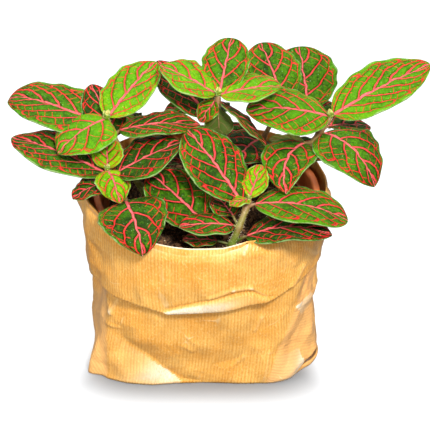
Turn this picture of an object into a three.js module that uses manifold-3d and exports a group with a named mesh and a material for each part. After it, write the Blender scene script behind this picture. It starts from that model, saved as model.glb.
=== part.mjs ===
// A potted nerve plant (fittonia): leafy stems in potting soil, in a round nursery pot that stands
// in a ribbed kraft paper bag with its top folded down into a cuff.
// Millimetres, +Z up. The origin is the middle of the bag's flat base, -Y is the front.

import * as THREE from 'three';
import { mergeVertices } from 'three/addons/utils/BufferGeometryUtils.js';
import Module from 'manifold-3d';

const wasm = await Module();
wasm.setup();

// Gap between pieces that touch
const seatGap = 0.3;

// Paper bag
const bag = {
  segments: 40,
  wall: 1.0,
  cuffStep: 1.4,
  cuffLip: 1.6,
  rimHeight: 93.0,
  rimPeak: 3.6,
  floor: 1.2,
  cornerFold: 4,
  cornerFoldTop: 78,
  cornerPoint: 8,
  cornerPointTop: 30,
};

// Half sizes and squareness of the bag's plan, from the base up to the rim
const bagPlan = [
  { z: 0, halfWidth: 60.5, halfDepth: 52.5, squareness: 5.0 },
  { z: 7, halfWidth: 61.0, halfDepth: 53.5, squareness: 4.6 },
  { z: 26, halfWidth: 60.0, halfDepth: 56.0, squareness: 3.6 },
  { z: 48, halfWidth: 59.0, halfDepth: 58.5, squareness: 3.0 },
  { z: 70, halfWidth: 63.5, halfDepth: 61.5, squareness: 2.5 },
  { z: 100, halfWidth: 68.0, halfDepth: 63.0, squareness: 2.1 },
];

// Nursery pot
const pot = {
  centreX: 1,
  segments: 32,
  foot: bag.floor + seatGap,
  height: 88.5,
  footRadius: 42,
  shoulderRadius: 54.5,
  rimRadius: 61,
  bandHeight: 13,
  wall: 1.3,
  lip: 2.6,
  floor: 1.6,
  holes: 6,
  holeRadius: 4,
  holeCircle: 28,
};

// Potting soil
const soil = {
  level: 81.2,
  segments: 32,
  rings: 6,
  relief: 0.7,
  dish: 0.8,
  wallRoom: 0.6,
  holeRoom: 0.7,
};

// Stems and leaf stalks. A stalk leaves its stem a little below its leaf, by a share of the stem
const stemDepth = 15;
const stemSides = 6;
const stalkRadius = 0.9;
const stalkSides = 4;
const stalkDrop = 0.05;

// Blades
const blade = {
  thickness: 0.8,
  steps: 40,
  rows: 7,
  rowsSmall: 5,
  columns: 4,
  smallLength: 25,
  firstRow: 0.035,
  lastRow: 0.996,
  fold: 0.15,
  cup: -0.15,
  wave: 0.8,
  waves: 1.7,
  oddSide: 1.9,
  baseFullness: 0.55,
  tipFullness: 0.66,
};

// Colours as the photograph shows them
const colours = {
  paper: 0xe0a860,
  pot: 0xd8622c,
  soil: 0x1d1613,
  darkLeaf: 0x3f7a33,
  freshLeaf: 0x63a52a,
};

// Each stem: where it leaves the soil, the point that it leans towards, its tip and its thickness.
// Each leaf: where it grows on the stem (0 root, 1 tip), its stalk, the direction it points in
// (degrees from +X towards +Y) and how steeply it rises there, the blade's length and width, and
// how far it bends down over its length. Some leaves also sweep sideways, roll, curl at the tip,
// or have a fuller base.
const plants = [
  {
    name: 'leafy_stem_left_tall',
    colour: colours.darkLeaf,
    root: [-30, 0], lean: [-44, 0, 108], tip: [-52, 8, 129.5], radius: 1.9,
    leaves: [
      { at: 1.0, stalk: 1, heading: 51, rise: 30, length: 43, width: 29, droop: 14, roll: 4, fold: 0.2 },
      { at: 1.0, stalk: 0, heading: 217, rise: 2, length: 34, width: 38, droop: 46, cup: -0.3,
        baseFullness: 0.38 },
      { at: 0.86, stalk: 4, heading: 156, rise: 17, length: 61, width: 34, droop: 24, curl: 46, roll: -14 },
      { at: 0.84, stalk: 4, heading: 357, rise: 19, length: 44, width: 26, droop: 30 },
      { at: 0.72, stalk: 3, heading: 118, rise: 40, length: 34, width: 24, droop: 16 },
      { at: 0.5, stalk: 3, heading: 350, rise: 12, length: 28, width: 13, droop: 20 },
    ],
  },
  {
    name: 'leafy_stem_left_low',
    colour: colours.darkLeaf,
    root: [-34, -22], lean: [-44, -22, 100], tip: [-51, -16, 112.5], radius: 1.7,
    leaves: [
      { at: 1.0, stalk: 0.5, heading: 92, rise: 38, length: 18, width: 17, droop: 15, fold: 0.25 },
      { at: 1.0, stalk: 0.5, heading: 290, rise: -3, length: 23, width: 19, droop: 40, cup: -0.3,
        baseFullness: 0.42, tipFullness: 0.75 },
      { at: 0.88, stalk: 3, heading: 154, rise: 16, length: 58, width: 33, droop: 20, roll: -4 },
      { at: 0.88, stalk: 3, heading: 12, rise: 29, length: 38, width: 34, droop: 14, roll: 4 },
      { at: 0.78, stalk: 6, heading: 210, rise: 6, length: 19, width: 17, droop: 40 },
      { at: 0.55, stalk: 11, heading: 286, rise: 10, length: 39, width: 36, droop: 62, roll: 8, curl: 20,
        baseFullness: 0.38, tipFullness: 0.75 },
    ],
  },
  {
    name: 'leafy_stem_centre',
    colour: colours.freshLeaf,
    root: [2, 4], lean: [4, 6, 115], tip: [7, 14, 140.3], radius: 1.9,
    leaves: [
      { at: 1.0, stalk: 1, heading: 162, rise: 28, length: 34, width: 32, droop: 16, fold: 0.2 },
      { at: 1.0, stalk: 1, heading: 6, rise: 15, length: 33, width: 31, droop: 20, fold: 0.2 },
      { at: 0.9, stalk: 7, heading: 76, rise: 40, length: 33, width: 26, droop: 8, tipFullness: 0.5 },
      { at: 0.94, stalk: 3.5, heading: 276, rise: -60, length: 19, width: 17, droop: 4, roll: 180,
        baseFullness: 0.8, tipFullness: 0.4 },
      { at: 0.72, stalk: 5, heading: 131, rise: 24, length: 46, width: 28, droop: 6 },
      { at: 0.96, stalk: 2, heading: 335, rise: -28, length: 34.5, width: 22, droop: 22, roll: -25 },
      { at: 0.98, stalk: 2.5, heading: 220, rise: -34, length: 14, width: 12, droop: 18, roll: -20 },
    ],
  },
  {
    name: 'leafy_stem_right',
    colour: colours.freshLeaf,
    root: [38, 4], lean: [52, 6, 106], tip: [67, 15, 126.6], radius: 2.0,
    leaves: [
      { at: 1.0, stalk: 2, heading: 21, rise: 26, length: 60, width: 32, droop: 15, roll: 18, fold: 0.2 },
      { at: 1.0, stalk: 1, heading: 188, rise: 23, length: 46, width: 36, droop: 32, roll: -14, cup: -0.25 },
      { at: 0.82, stalk: 3, heading: 314, rise: 12, length: 45, width: 39, droop: 85, cup: -0.25,
        baseFullness: 0.42, tipFullness: 0.75 },
      { at: 0.66, stalk: 3, heading: 172, rise: 12, length: 20, width: 14, droop: 20 },
      { at: 0.74, stalk: 10, heading: 228, rise: 8, length: 43, width: 29, droop: 42, sweep: 56,
        baseFullness: 0.4, tipFullness: 0.85 },
      { at: 0.88, stalk: 3, heading: 28, rise: -6, length: 28, width: 20, droop: 20 },
    ],
  },
  {
    name: 'leafy_stem_front',
    colour: colours.darkLeaf,
    root: [12.5, -46], lean: [16, -49, 92], tip: [23, -34, 106], radius: 2.1,
    leaves: [
      { at: 1.0, stalk: 0.5, heading: 68, rise: 36, length: 17.5, width: 14, droop: 5, fold: 0.25 },
      { at: 1.0, stalk: 0.5, heading: 220, rise: 14, length: 13, width: 9, droop: 20 },
      { at: 0.86, stalk: 3, heading: 135, rise: 40, length: 49, width: 33, droop: 12, roll: -10,
        baseFullness: 0.75, tipFullness: 0.6 },
      { at: 0.92, stalk: 4, heading: 353, rise: 12, length: 50, width: 35, droop: 45, tipFullness: 0.55 },
      { at: 0.58, stalk: 3, heading: 190, rise: 16, length: 29, width: 22, droop: 25 },
      { at: 0.6, stalk: 7, heading: 122, rise: 20, length: 17, width: 17, droop: 20 },
      { at: 0.25, stalk: 8, heading: 352, rise: 30, length: 46, width: 28, droop: 54 },
      { at: 0.2, stalk: 8, heading: 178, rise: 10, length: 18, width: 14, droop: 20 },
    ],
  },
  {
    name: 'leafy_stem_back_right',
    colour: colours.darkLeaf,
    root: [22, 24], lean: [32, 28, 108], tip: [43, 30, 128], radius: 1.6,
    leaves: [
      { at: 1.0, stalk: 1, heading: 114, rise: 38, length: 36, width: 33, droop: 8, tipFullness: 0.55 },
      { at: 0.52, stalk: 3, heading: 238, rise: 10, length: 32, width: 29, droop: 20, roll: -12 },
      { at: 0.4, stalk: 3, heading: 255, rise: 5, length: 30, width: 15, droop: 30 },
    ],
  },
  {
    name: 'leafy_stem_inner',
    colour: colours.darkLeaf,
    root: [-2, -30], lean: [-2, -34, 88], tip: [0, -38, 93], radius: 1.6,
    leaves: [
      { at: 1.0, stalk: 1, heading: 141, rise: 30, length: 41, width: 33, droop: 15, roll: -14 },
    ],
  },
  {
    name: 'leafy_stem_rear_left',
    colour: colours.darkLeaf,
    root: [-30, 28], lean: [-38, 36, 104], tip: [-44, 44, 118], radius: 1.6,
    leaves: [
      { at: 1.0, stalk: 3, heading: 82, rise: 5, length: 30, width: 24, droop: 45 },
      { at: 1.0, stalk: 3, heading: 176, rise: 10, length: 36, width: 26, droop: 35 },
      { at: 0.6, stalk: 4, heading: 118, rise: 0, length: 32, width: 24, droop: 40 },
      { at: 0.85, stalk: 3, heading: 255, rise: 15, length: 24, width: 18, droop: 30 },
    ],
  },
  {
    name: 'leafy_stem_rear_centre',
    colour: colours.darkLeaf,
    root: [2, 38], lean: [3, 46, 104], tip: [4, 52, 120], radius: 1.6,
    leaves: [
      { at: 1.0, stalk: 4, heading: 62, rise: 8, length: 30, width: 24, droop: 35 },
      { at: 1.0, stalk: 4, heading: 146, rise: 8, length: 34, width: 24, droop: 35 },
      { at: 0.6, stalk: 4, heading: 92, rise: 0, length: 34, width: 24, droop: 40 },
      { at: 0.8, stalk: 3, heading: 180, rise: 8, length: 24, width: 20, droop: 35 },
      { at: 0.5, stalk: 3, heading: 350, rise: 0, length: 28, width: 20, droop: 35 },
    ],
  },
  {
    name: 'leafy_stem_rear_right',
    colour: colours.darkLeaf,
    root: [32, 36], lean: [46, 43, 98], tip: [58, 46, 111], radius: 1.6,
    leaves: [
      { at: 1.0, stalk: 2, heading: 100, rise: 49, length: 38, width: 38, droop: 16, tipFullness: 0.5 },
      { at: 1.0, stalk: 4, heading: 20, rise: 0, length: 28, width: 22, droop: 40 },
      { at: 0.5, stalk: 4, heading: 325, rise: 0, length: 25, width: 22, droop: 20 },
      { at: 0.8, stalk: 3, heading: 82, rise: 12, length: 32, width: 24, droop: 40 },
    ],
  },
];

const radians = THREE.MathUtils.degToRad;

// Closed mesh from a list of points and triangles, as a solid that can be joined and cut
function solidFrom(points, triangles) {
  return new wasm.Manifold(new wasm.Mesh({
    numProp: 3,
    vertProperties: new Float32Array(points.flat()),
    triVerts: new Uint32Array(triangles.flat()),
  }));
}

function solidFromGeometry(geometry) {
  const bare = geometry.clone();
  bare.deleteAttribute('normal');
  bare.deleteAttribute('uv');
  const merged = mergeVertices(bare, 1e-4);
  return new wasm.Manifold(new wasm.Mesh({
    numProp: 3,
    vertProperties: merged.getAttribute('position').array,
    triVerts: new Uint32Array(merged.getIndex().array),
  }));
}

function geometryFrom(solid) {
  const mesh = solid.getMesh();
  const geometry = new THREE.BufferGeometry();
  geometry.setAttribute('position', new THREE.BufferAttribute(mesh.vertProperties, 3));
  geometry.setIndex(new THREE.BufferAttribute(mesh.triVerts, 1));
  geometry.computeVertexNormals();
  return geometry;
}

function namedMesh(name, solid, colour, roughness) {
  const material = new THREE.MeshStandardMaterial({ color: colour, roughness, metalness: 0 });
  const mesh = new THREE.Mesh(geometryFrom(solid), material);
  mesh.name = name;
  return mesh;
}

// Skin of quads over rows of points that close on themselves, capped by a fan at each end
function ringSkin(rings) {
  const points = rings.flat();
  const count = rings[0].length;
  const triangles = [];
  for (let row = 0; row < rings.length - 1; row++) {
    for (let i = 0; i < count; i++) {
      const next = (i + 1) % count;
      const a = row * count + i;
      const b = row * count + next;
      triangles.push([a, b, b + count], [a, b + count, a + count]);
    }
  }
  return { points, triangles, count };
}

function middleOf(ring) {
  const sum = ring.reduce((total, point) => total.map((value, axis) => value + point[axis]), [0, 0, 0]);
  return sum.map((value) => value / ring.length);
}

function cappedSolid(rings) {
  const { points, triangles, count } = ringSkin(rings);
  const last = (rings.length - 1) * count;
  const start = points.length;
  points.push(middleOf(rings[0]), middleOf(rings[rings.length - 1]));
  for (let i = 0; i < count; i++) {
    const next = (i + 1) % count;
    triangles.push([start, next, i], [start + 1, last + i, last + next]);
  }
  return solidFrom(points, triangles);
}

// Closed round rod along a smooth path
function rodSolid(path, radius, sides) {
  const circle = Array.from({ length: sides }, (unused, side) => {
    const turn = (2 * Math.PI * side) / sides;
    return new THREE.Vector2(radius * Math.cos(turn), radius * Math.sin(turn));
  });
  return solidFromGeometry(new THREE.ExtrudeGeometry(new THREE.Shape(circle), {
    steps: path.length,
    bevelEnabled: false,
    extrudePath: new THREE.CatmullRomCurve3(path),
  }));
}

// Bag outline at a height, between the rows of its plan
function planAt(height) {
  const z = THREE.MathUtils.clamp(height, 0, bagPlan[bagPlan.length - 1].z);
  const upper = Math.max(1, bagPlan.findIndex((row) => row.z >= z));
  const low = bagPlan[upper - 1];
  const high = bagPlan[upper];
  const share = (z - low.z) / (high.z - low.z);
  const mix = (key) => THREE.MathUtils.lerp(low[key], high[key], share);
  return { halfWidth: mix('halfWidth'), halfDepth: mix('halfDepth'), squareness: mix('squareness') };
}

// Smooth hump round the bag, centred on one direction
function hump(turn, centre, spread) {
  const apart = Math.atan2(Math.sin(turn - centre), Math.cos(turn - centre));
  return Math.exp(-((apart / spread) ** 2));
}

// Point of the bag's wall. Its right front corner is folded flat and its left front corner
// drawn out to a point, both most of all at the base
function bagPoint(turn, height, inset) {
  const { halfWidth, halfDepth, squareness } = planAt(height);
  const power = 2 / squareness;
  const cosine = Math.cos(turn);
  const sine = Math.sin(turn);
  const x = Math.sign(cosine) * Math.abs(cosine) ** power;
  const y = Math.sign(sine) * Math.abs(sine) ** power;
  const foldShare = Math.max(0, 1 - height / bag.cornerFoldTop);
  const folded = inset + bag.cornerFold * foldShare * hump(turn, radians(-43), radians(20));
  const pointShare = Math.max(0, 1 - height / bag.cornerPointTop);
  const pointed = bag.cornerPoint * pointShare * hump(turn, radians(-143), radians(10));
  return [(halfWidth - folded) * x - pointed, (halfDepth - folded) * y - pointed * 0.25, height];
}

function rimAt(turn) {
  return bag.rimHeight + bag.rimPeak * hump(turn, radians(-152), radians(30))
    + 2 * hump(turn, radians(80), radians(60));
}

function cuffEdgeAt(turn) {
  return 60 - 9 * hump(turn, radians(-125), radians(48));
}

function bagRing(heightAt, inset) {
  return Array.from({ length: bag.segments }, (unused, i) => {
    const turn = (2 * Math.PI * i) / bag.segments;
    return bagPoint(turn, heightAt(turn), inset);
  });
}

function makeBag() {
  const { wall, cuffStep, cuffLip, floor } = bag;
  const share = (part) => (turn) => THREE.MathUtils.lerp(cuffEdgeAt(turn), rimAt(turn), part);
  const level = (height) => () => height;
  const rings = [
    bagRing(level(0), 0),
    bagRing(level(8), 0),
    bagRing(level(26), 0),
    bagRing((turn) => cuffEdgeAt(turn) + 0.6, 0),
    bagRing(cuffEdgeAt, -cuffLip),
    bagRing(share(0.12), -cuffStep),
    bagRing(share(0.55), -0.6),
    bagRing(rimAt, 0),
    bagRing((turn) => rimAt(turn) - 0.4, wall),
    bagRing(share(0.4), wall),
    bagRing(level(30), wall),
    bagRing(level(8), wall),
    bagRing(level(floor), wall + 1),
  ];
  return namedMesh('paper_bag', cappedSolid(rings), colours.paper, 0.55);
}

function makePot() {
  const { foot, height, footRadius, shoulderRadius, rimRadius, bandHeight, wall, lip, floor } = pot;
  const top = foot + height;
  const shoulder = top - bandHeight;
  const outline = [
    [0, foot + 1],
    [footRadius - 4, foot + 1],
    [footRadius - 3, foot],
    [footRadius, foot],
    [shoulderRadius, shoulder],
    [rimRadius - 2.2, shoulder + 0.8],
    [rimRadius - 1.2, top - 2.2],
    [rimRadius, top - 1.6],
    [rimRadius, top],
    [rimRadius - lip, top],
    [rimRadius - 2.2 - wall - 0.6, shoulder + 1.6],
    [shoulderRadius - wall, shoulder - 0.6],
    [footRadius - wall, foot + 1 + floor],
    [0, foot + 1 + floor],
  ];
  const lathe = new THREE.LatheGeometry(outline.map(([r, z]) => new THREE.Vector2(r, z)), pot.segments);
  lathe.rotateX(Math.PI / 2);
  let solid = solidFromGeometry(lathe);
  for (let i = 0; i < pot.holes; i++) {
    const turn = (2 * Math.PI * i) / pot.holes;
    const hole = new THREE.CylinderGeometry(pot.holeRadius, pot.holeRadius, 8, 12);
    hole.rotateX(Math.PI / 2);
    hole.translate(pot.holeCircle * Math.cos(turn), pot.holeCircle * Math.sin(turn), foot + 2);
    solid = solid.subtract(solidFromGeometry(hole));
  }
  const mesh = namedMesh('nursery_pot', solid, colours.pot, 0.5);
  mesh.position.x = pot.centreX;
  return mesh;
}

// Radius of the pot's inner wall at a height
function potInside(z) {
  const low = pot.foot + 1 + pot.floor;
  const high = pot.foot + pot.height - pot.bandHeight - 0.6;
  const share = (z - low) / (high - low);
  return THREE.MathUtils.lerp(pot.footRadius - pot.wall, pot.shoulderRadius - pot.wall, share);
}

// Height of the soil: crumbs and hollows over a slight dish
function soilHeight(x, y) {
  const crumbs = Math.sin(0.55 * x + 1.3) * Math.sin(0.6 * y - 0.4)
    + 0.6 * Math.sin(1.21 * x + 0.33 * y) * Math.cos(1.07 * y - 0.21 * x)
    + 0.4 * Math.sin(0.23 * x - 0.31 * y + 2);
  const edge = (x * x + y * y) / potInside(soil.level) ** 2;
  return soil.level + soil.relief * crumbs + soil.dish * (edge - 0.6);
}

function makeSoil() {
  const flatFoot = pot.foot + 1 + pot.floor + seatGap;
  const edgeRadius = potInside(soil.level) - soil.wallRoom;
  const footRadius = potInside(flatFoot) - soil.wallRoom;
  const ring = (radius, heightAt) => Array.from({ length: soil.segments }, (unused, i) => {
    const turn = (2 * Math.PI * i) / soil.segments;
    const x = radius * Math.cos(turn);
    const y = radius * Math.sin(turn);
    return [x, y, heightAt(x, y)];
  });
  const rings = [ring(footRadius, () => flatFoot)];
  for (let i = soil.rings; i > 0; i--) {
    rings.push(ring((edgeRadius * i) / soil.rings, soilHeight));
  }
  let solid = cappedSolid(rings);
  for (const plant of plants) {
    const radius = plant.radius + soil.holeRoom;
    const depth = stemDepth + seatGap;
    const hole = new THREE.CylinderGeometry(radius, radius, depth * 2, 10);
    hole.rotateX(Math.PI / 2);
    hole.translate(plant.root[0] - pot.centreX, plant.root[1], soil.level);
    solid = solid.subtract(solidFromGeometry(hole));
  }
  const mesh = namedMesh('potting_soil', solid, colours.soil, 0.95);
  mesh.position.x = pot.centreX;
  return mesh;
}

function stemCurve(plant) {
  const root = new THREE.Vector3(plant.root[0], plant.root[1], soil.level + 1.5);
  return new THREE.QuadraticBezierCurve3(
    root, new THREE.Vector3(...plant.lean), new THREE.Vector3(...plant.tip),
  );
}

function stemSolid(plant, curve) {
  const under = new THREE.Vector3(plant.root[0], plant.root[1], soil.level - stemDepth);
  return rodSolid([under, ...curve.getPoints(6)], plant.radius, stemSides);
}

// Direction with a heading from +X and a rise from the level
function direction(heading, rise) {
  return new THREE.Vector3(
    Math.cos(rise) * Math.cos(heading),
    Math.cos(rise) * Math.sin(heading),
    Math.sin(rise),
  );
}

// The midrib as a list of points, each with its own side and face directions
function midrib(leaf, base) {
  const frames = [];
  const point = base.clone();
  for (let i = 0; i <= blade.steps; i++) {
    const share = i / blade.steps;
    const tipShare = Math.max(0, (share - 0.7) / 0.3);
    const rise = leaf.rise - leaf.droop * share ** 1.2 - (leaf.curl ?? 0) * tipShare ** 2;
    const heading = radians(leaf.heading + (leaf.sweep ?? 0) * share);
    const along = direction(heading, radians(rise));
    const level = new THREE.Vector3(-Math.sin(heading), Math.cos(heading), 0);
    const roll = radians(leaf.roll ?? 0);
    const side = level.clone().applyAxisAngle(along, roll);
    const face = along.clone().cross(side);
    frames.push({ point: point.clone(), side, face });
    point.addScaledVector(along, leaf.length / blade.steps);
  }
  return frames;
}

// Half width of a blade along its midrib, as a share of its widest
function outlineAt(share, baseFullness, tipFullness) {
  const widest = baseFullness / (baseFullness + tipFullness);
  return (share / widest) ** baseFullness * ((1 - share) / (1 - widest)) ** tipFullness;
}

function frameAt(frames, share) {
  const place = share * blade.steps;
  const index = Math.min(Math.floor(place), blade.steps - 1);
  const part = place - index;
  const mix = (key) => frames[index][key].clone().lerp(frames[index + 1][key], part);
  return { point: mix('point'), side: mix('side'), face: mix('face') };
}

// Thin closed blade: folded along the midrib, arched across and waved at the margin
function bladeSolid(leaf, frames, phase) {
  const rows = leaf.length > blade.smallLength ? blade.rows : blade.rowsSmall;
  const columns = blade.columns;
  const top = [];
  const bottom = [];
  for (let row = 0; row <= rows; row++) {
    const spread = 0.5 - 0.5 * Math.cos((Math.PI * row) / rows);
    const share = THREE.MathUtils.lerp(blade.firstRow, blade.lastRow, spread);
    const { point, side, face } = frameAt(frames, share);
    const baseFullness = leaf.baseFullness ?? blade.baseFullness;
    const tipFullness = leaf.tipFullness ?? blade.tipFullness;
    const half = (leaf.width / 2) * outlineAt(share, baseFullness, tipFullness);
    for (let column = 0; column <= columns; column++) {
      const across = (2 * column) / columns - 1;
      const swing = Math.sin(2 * Math.PI * blade.waves * share + phase + (across < 0 ? blade.oddSide : 0));
      const lift = half * ((leaf.fold ?? blade.fold) * Math.abs(across)
        + (leaf.cup ?? blade.cup) * across * across)
        + blade.wave * swing * across * across * Math.sin(Math.PI * share) ** 0.5;
      const upper = point.clone().addScaledVector(side, across * half).addScaledVector(face, lift);
      top.push(upper.toArray());
      bottom.push(upper.addScaledVector(face, -blade.thickness).toArray());
    }
  }
  return bladeSkin(top, bottom, rows, columns);
}

// Both faces split alike, with a strip round the margin
function bladeSkin(top, bottom, rows, columns) {
  const points = [...top, ...bottom];
  const under = top.length;
  const wide = columns + 1;
  const triangles = [];
  for (let row = 0; row < rows; row++) {
    for (let column = 0; column < columns; column++) {
      const a = row * wide + column;
      const b = a + 1;
      const c = a + wide;
      const d = c + 1;
      triangles.push([a, c, d], [a, d, b]);
      triangles.push([under + a, under + d, under + c], [under + a, under + b, under + d]);
    }
  }
  const margin = [];
  for (let column = 0; column < columns; column++) {
    margin.push(column);
  }
  for (let row = 0; row < rows; row++) {
    margin.push(row * wide + columns);
  }
  for (let column = columns; column > 0; column--) {
    margin.push(rows * wide + column);
  }
  for (let row = rows; row > 0; row--) {
    margin.push(row * wide);
  }
  margin.forEach((here, i) => {
    const next = margin[(i + 1) % margin.length];
    triangles.push([here, next, under + next], [here, under + next, under + here]);
  });
  return solidFrom(points, triangles);
}

// Stalk from inside the stem to a little way along the underside of the midrib
function stalkSolid(base, start, frames) {
  const inBlade = frameAt(frames, 0.1);
  const end = inBlade.point.addScaledVector(inBlade.face, -blade.thickness);
  const middle = start.clone().addScaledVector(frames[0].face, -blade.thickness);
  return rodSolid([base, middle, end], stalkRadius, stalkSides);
}

function makePlant(plant, number) {
  const curve = stemCurve(plant);
  let solid = stemSolid(plant, curve);
  plant.leaves.forEach((leaf, i) => {
    const base = curve.getPoint(leaf.at);
    const towards = direction(radians(leaf.heading), radians(leaf.rise));
    const start = base.clone().addScaledVector(towards, leaf.stalk);
    const frames = midrib(leaf, start);
    const phase = 0.9 * ((number * 3 + i * 5) % 7);
    solid = solid.add(bladeSolid(leaf, frames, phase));
    solid = solid.add(stalkSolid(curve.getPoint(leaf.at - stalkDrop), start, frames));
  });
  return namedMesh(plant.name, solid, plant.colour, 0.5);
}

const group = new THREE.Group();
group.add(makeBag());
group.add(makePot());
group.add(makeSoil());
plants.forEach((plant, number) => group.add(makePlant(plant, number)));

export default group;
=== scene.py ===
# A potted nerve plant: leafy stems in potting soil, in a nursery pot that stands in a kraft paper bag
# Sizes in the tables are millimetres and degrees, but metres for the lamps and the floor
import math
import random

import bpy
import numpy as np
from mathutils import Matrix
from mathutils.geometry import delaunay_2d_cdt


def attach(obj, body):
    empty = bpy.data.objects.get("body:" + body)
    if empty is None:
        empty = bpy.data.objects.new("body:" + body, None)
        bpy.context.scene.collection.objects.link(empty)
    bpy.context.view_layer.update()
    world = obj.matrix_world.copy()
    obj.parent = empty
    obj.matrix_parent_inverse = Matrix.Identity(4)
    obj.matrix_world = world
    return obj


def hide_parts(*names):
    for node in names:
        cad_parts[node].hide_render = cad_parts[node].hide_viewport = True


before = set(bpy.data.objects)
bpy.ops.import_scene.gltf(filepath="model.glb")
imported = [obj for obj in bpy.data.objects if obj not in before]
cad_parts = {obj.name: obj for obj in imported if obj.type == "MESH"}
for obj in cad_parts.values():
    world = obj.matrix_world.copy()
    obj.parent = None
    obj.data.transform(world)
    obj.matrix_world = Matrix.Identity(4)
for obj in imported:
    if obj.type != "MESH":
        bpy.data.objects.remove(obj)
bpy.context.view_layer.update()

scene = bpy.context.scene
mm = 0.001


def pictureColour(red, green, blue):
    def linear(level):
        level = level / 255
        return level / 12.92 if level <= 0.04045 else ((level + 0.055) / 1.055) ** 2.4
    return (linear(red), linear(green), linear(blue), 1)


def selectOnly(piece):
    bpy.ops.object.select_all(action="DESELECT")
    piece.select_set(True)
    bpy.context.view_layer.objects.active = piece


def addPrimitive(operator, location=(0, 0, 0), **settings):
    bpy.ops.object.select_all(action="DESELECT")
    operator(location=location, **settings)
    return bpy.context.object


def turnFacesOut(piece, mergeWithin=0):
    selectOnly(piece)
    bpy.ops.object.mode_set(mode="EDIT")
    bpy.ops.mesh.select_all(action="SELECT")
    if mergeWithin:
        bpy.ops.mesh.remove_doubles(threshold=mergeWithin)
    bpy.ops.mesh.normals_make_consistent(inside=False)
    bpy.ops.object.mode_set(mode="OBJECT")


def applyModifier(piece, kind, **settings):
    selectOnly(piece)
    modifier = piece.modifiers.new(kind.title(), kind)
    for key, value in settings.items():
        setattr(modifier, key, value)
    bpy.ops.object.modifier_apply(modifier=modifier.name)


def joinPieces(pieces, name):
    bpy.ops.object.select_all(action="DESELECT")
    for piece in pieces:
        piece.select_set(True)
    bpy.context.view_layer.objects.active = pieces[0]
    bpy.ops.object.join()
    joined = bpy.context.object
    joined.name = name
    joined.data.name = name
    return joined


def placesOf(piece):
    places = np.empty(len(piece.data.vertices) * 3)
    piece.data.vertices.foreach_get("co", places)
    return places.reshape(-1, 3)


def setPlaces(piece, places):
    piece.data.vertices.foreach_set("co", np.ascontiguousarray(places, dtype=float).ravel())
    piece.data.update()


def addAttribute(piece, name, columns):
    layer = piece.data.attributes.new(name, "FLOAT_VECTOR", "POINT")
    count = len(piece.data.vertices)
    values = np.stack([np.broadcast_to(column, (count,)) for column in columns], axis=1)
    layer.data.foreach_set("vector", np.ascontiguousarray(values, dtype=float).ravel())


def standFor(piece, node):
    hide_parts(node)
    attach(piece, "root")


def addNode(tree, kind, settings, inputs, output=0):
    node = tree.nodes.new(kind)
    for key, value in settings.items():
        if key == "stops":
            ramp = node.color_ramp
            while len(ramp.elements) < len(value):
                ramp.elements.new(0.5)
            for element, (place, colour) in zip(ramp.elements, value):
                element.position = place
                element.color = colour
        else:
            setattr(node, key, value)
    for key, value in inputs.items():
        if isinstance(value, Value):
            tree.links.new(value.socket, node.inputs[key])
        else:
            node.inputs[key].default_value = value
    return Value(node.outputs[output])


# Shader maths as plain sums
def numberNode(kind, settings, values):
    tree = next(value.socket.id_data for value in values if isinstance(value, Value))
    return addNode(tree, kind, settings, dict(enumerate(values)))


def maths(operation, reflected=False):
    def work(*values):
        if reflected:
            values = values[::-1]
        return numberNode("ShaderNodeMath", {"operation": operation}, values)
    return work


class Value:
    def __init__(self, socket):
        self.socket = socket

    __add__ = __radd__ = maths("ADD")
    __sub__ = maths("SUBTRACT")
    __rsub__ = maths("SUBTRACT", reflected=True)
    __mul__ = __rmul__ = maths("MULTIPLY")
    __truediv__ = maths("DIVIDE")
    __rtruediv__ = maths("DIVIDE", reflected=True)
    __pow__ = maths("POWER")
    __abs__ = maths("ABSOLUTE")
    fraction = maths("FRACT")
    whole = maths("FLOOR")
    sine = maths("SINE")
    root = maths("SQRT")
    least = maths("MINIMUM")
    most = maths("MAXIMUM")
    above = maths("GREATER_THAN")

    def rise(self, low, high):  # 0 below low, 1 above high, smooth between
        return numberNode(
            "ShaderNodeMapRange", {"interpolation_type": "SMOOTHSTEP"}, (self, low, high, 0.0, 1.0))


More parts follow.
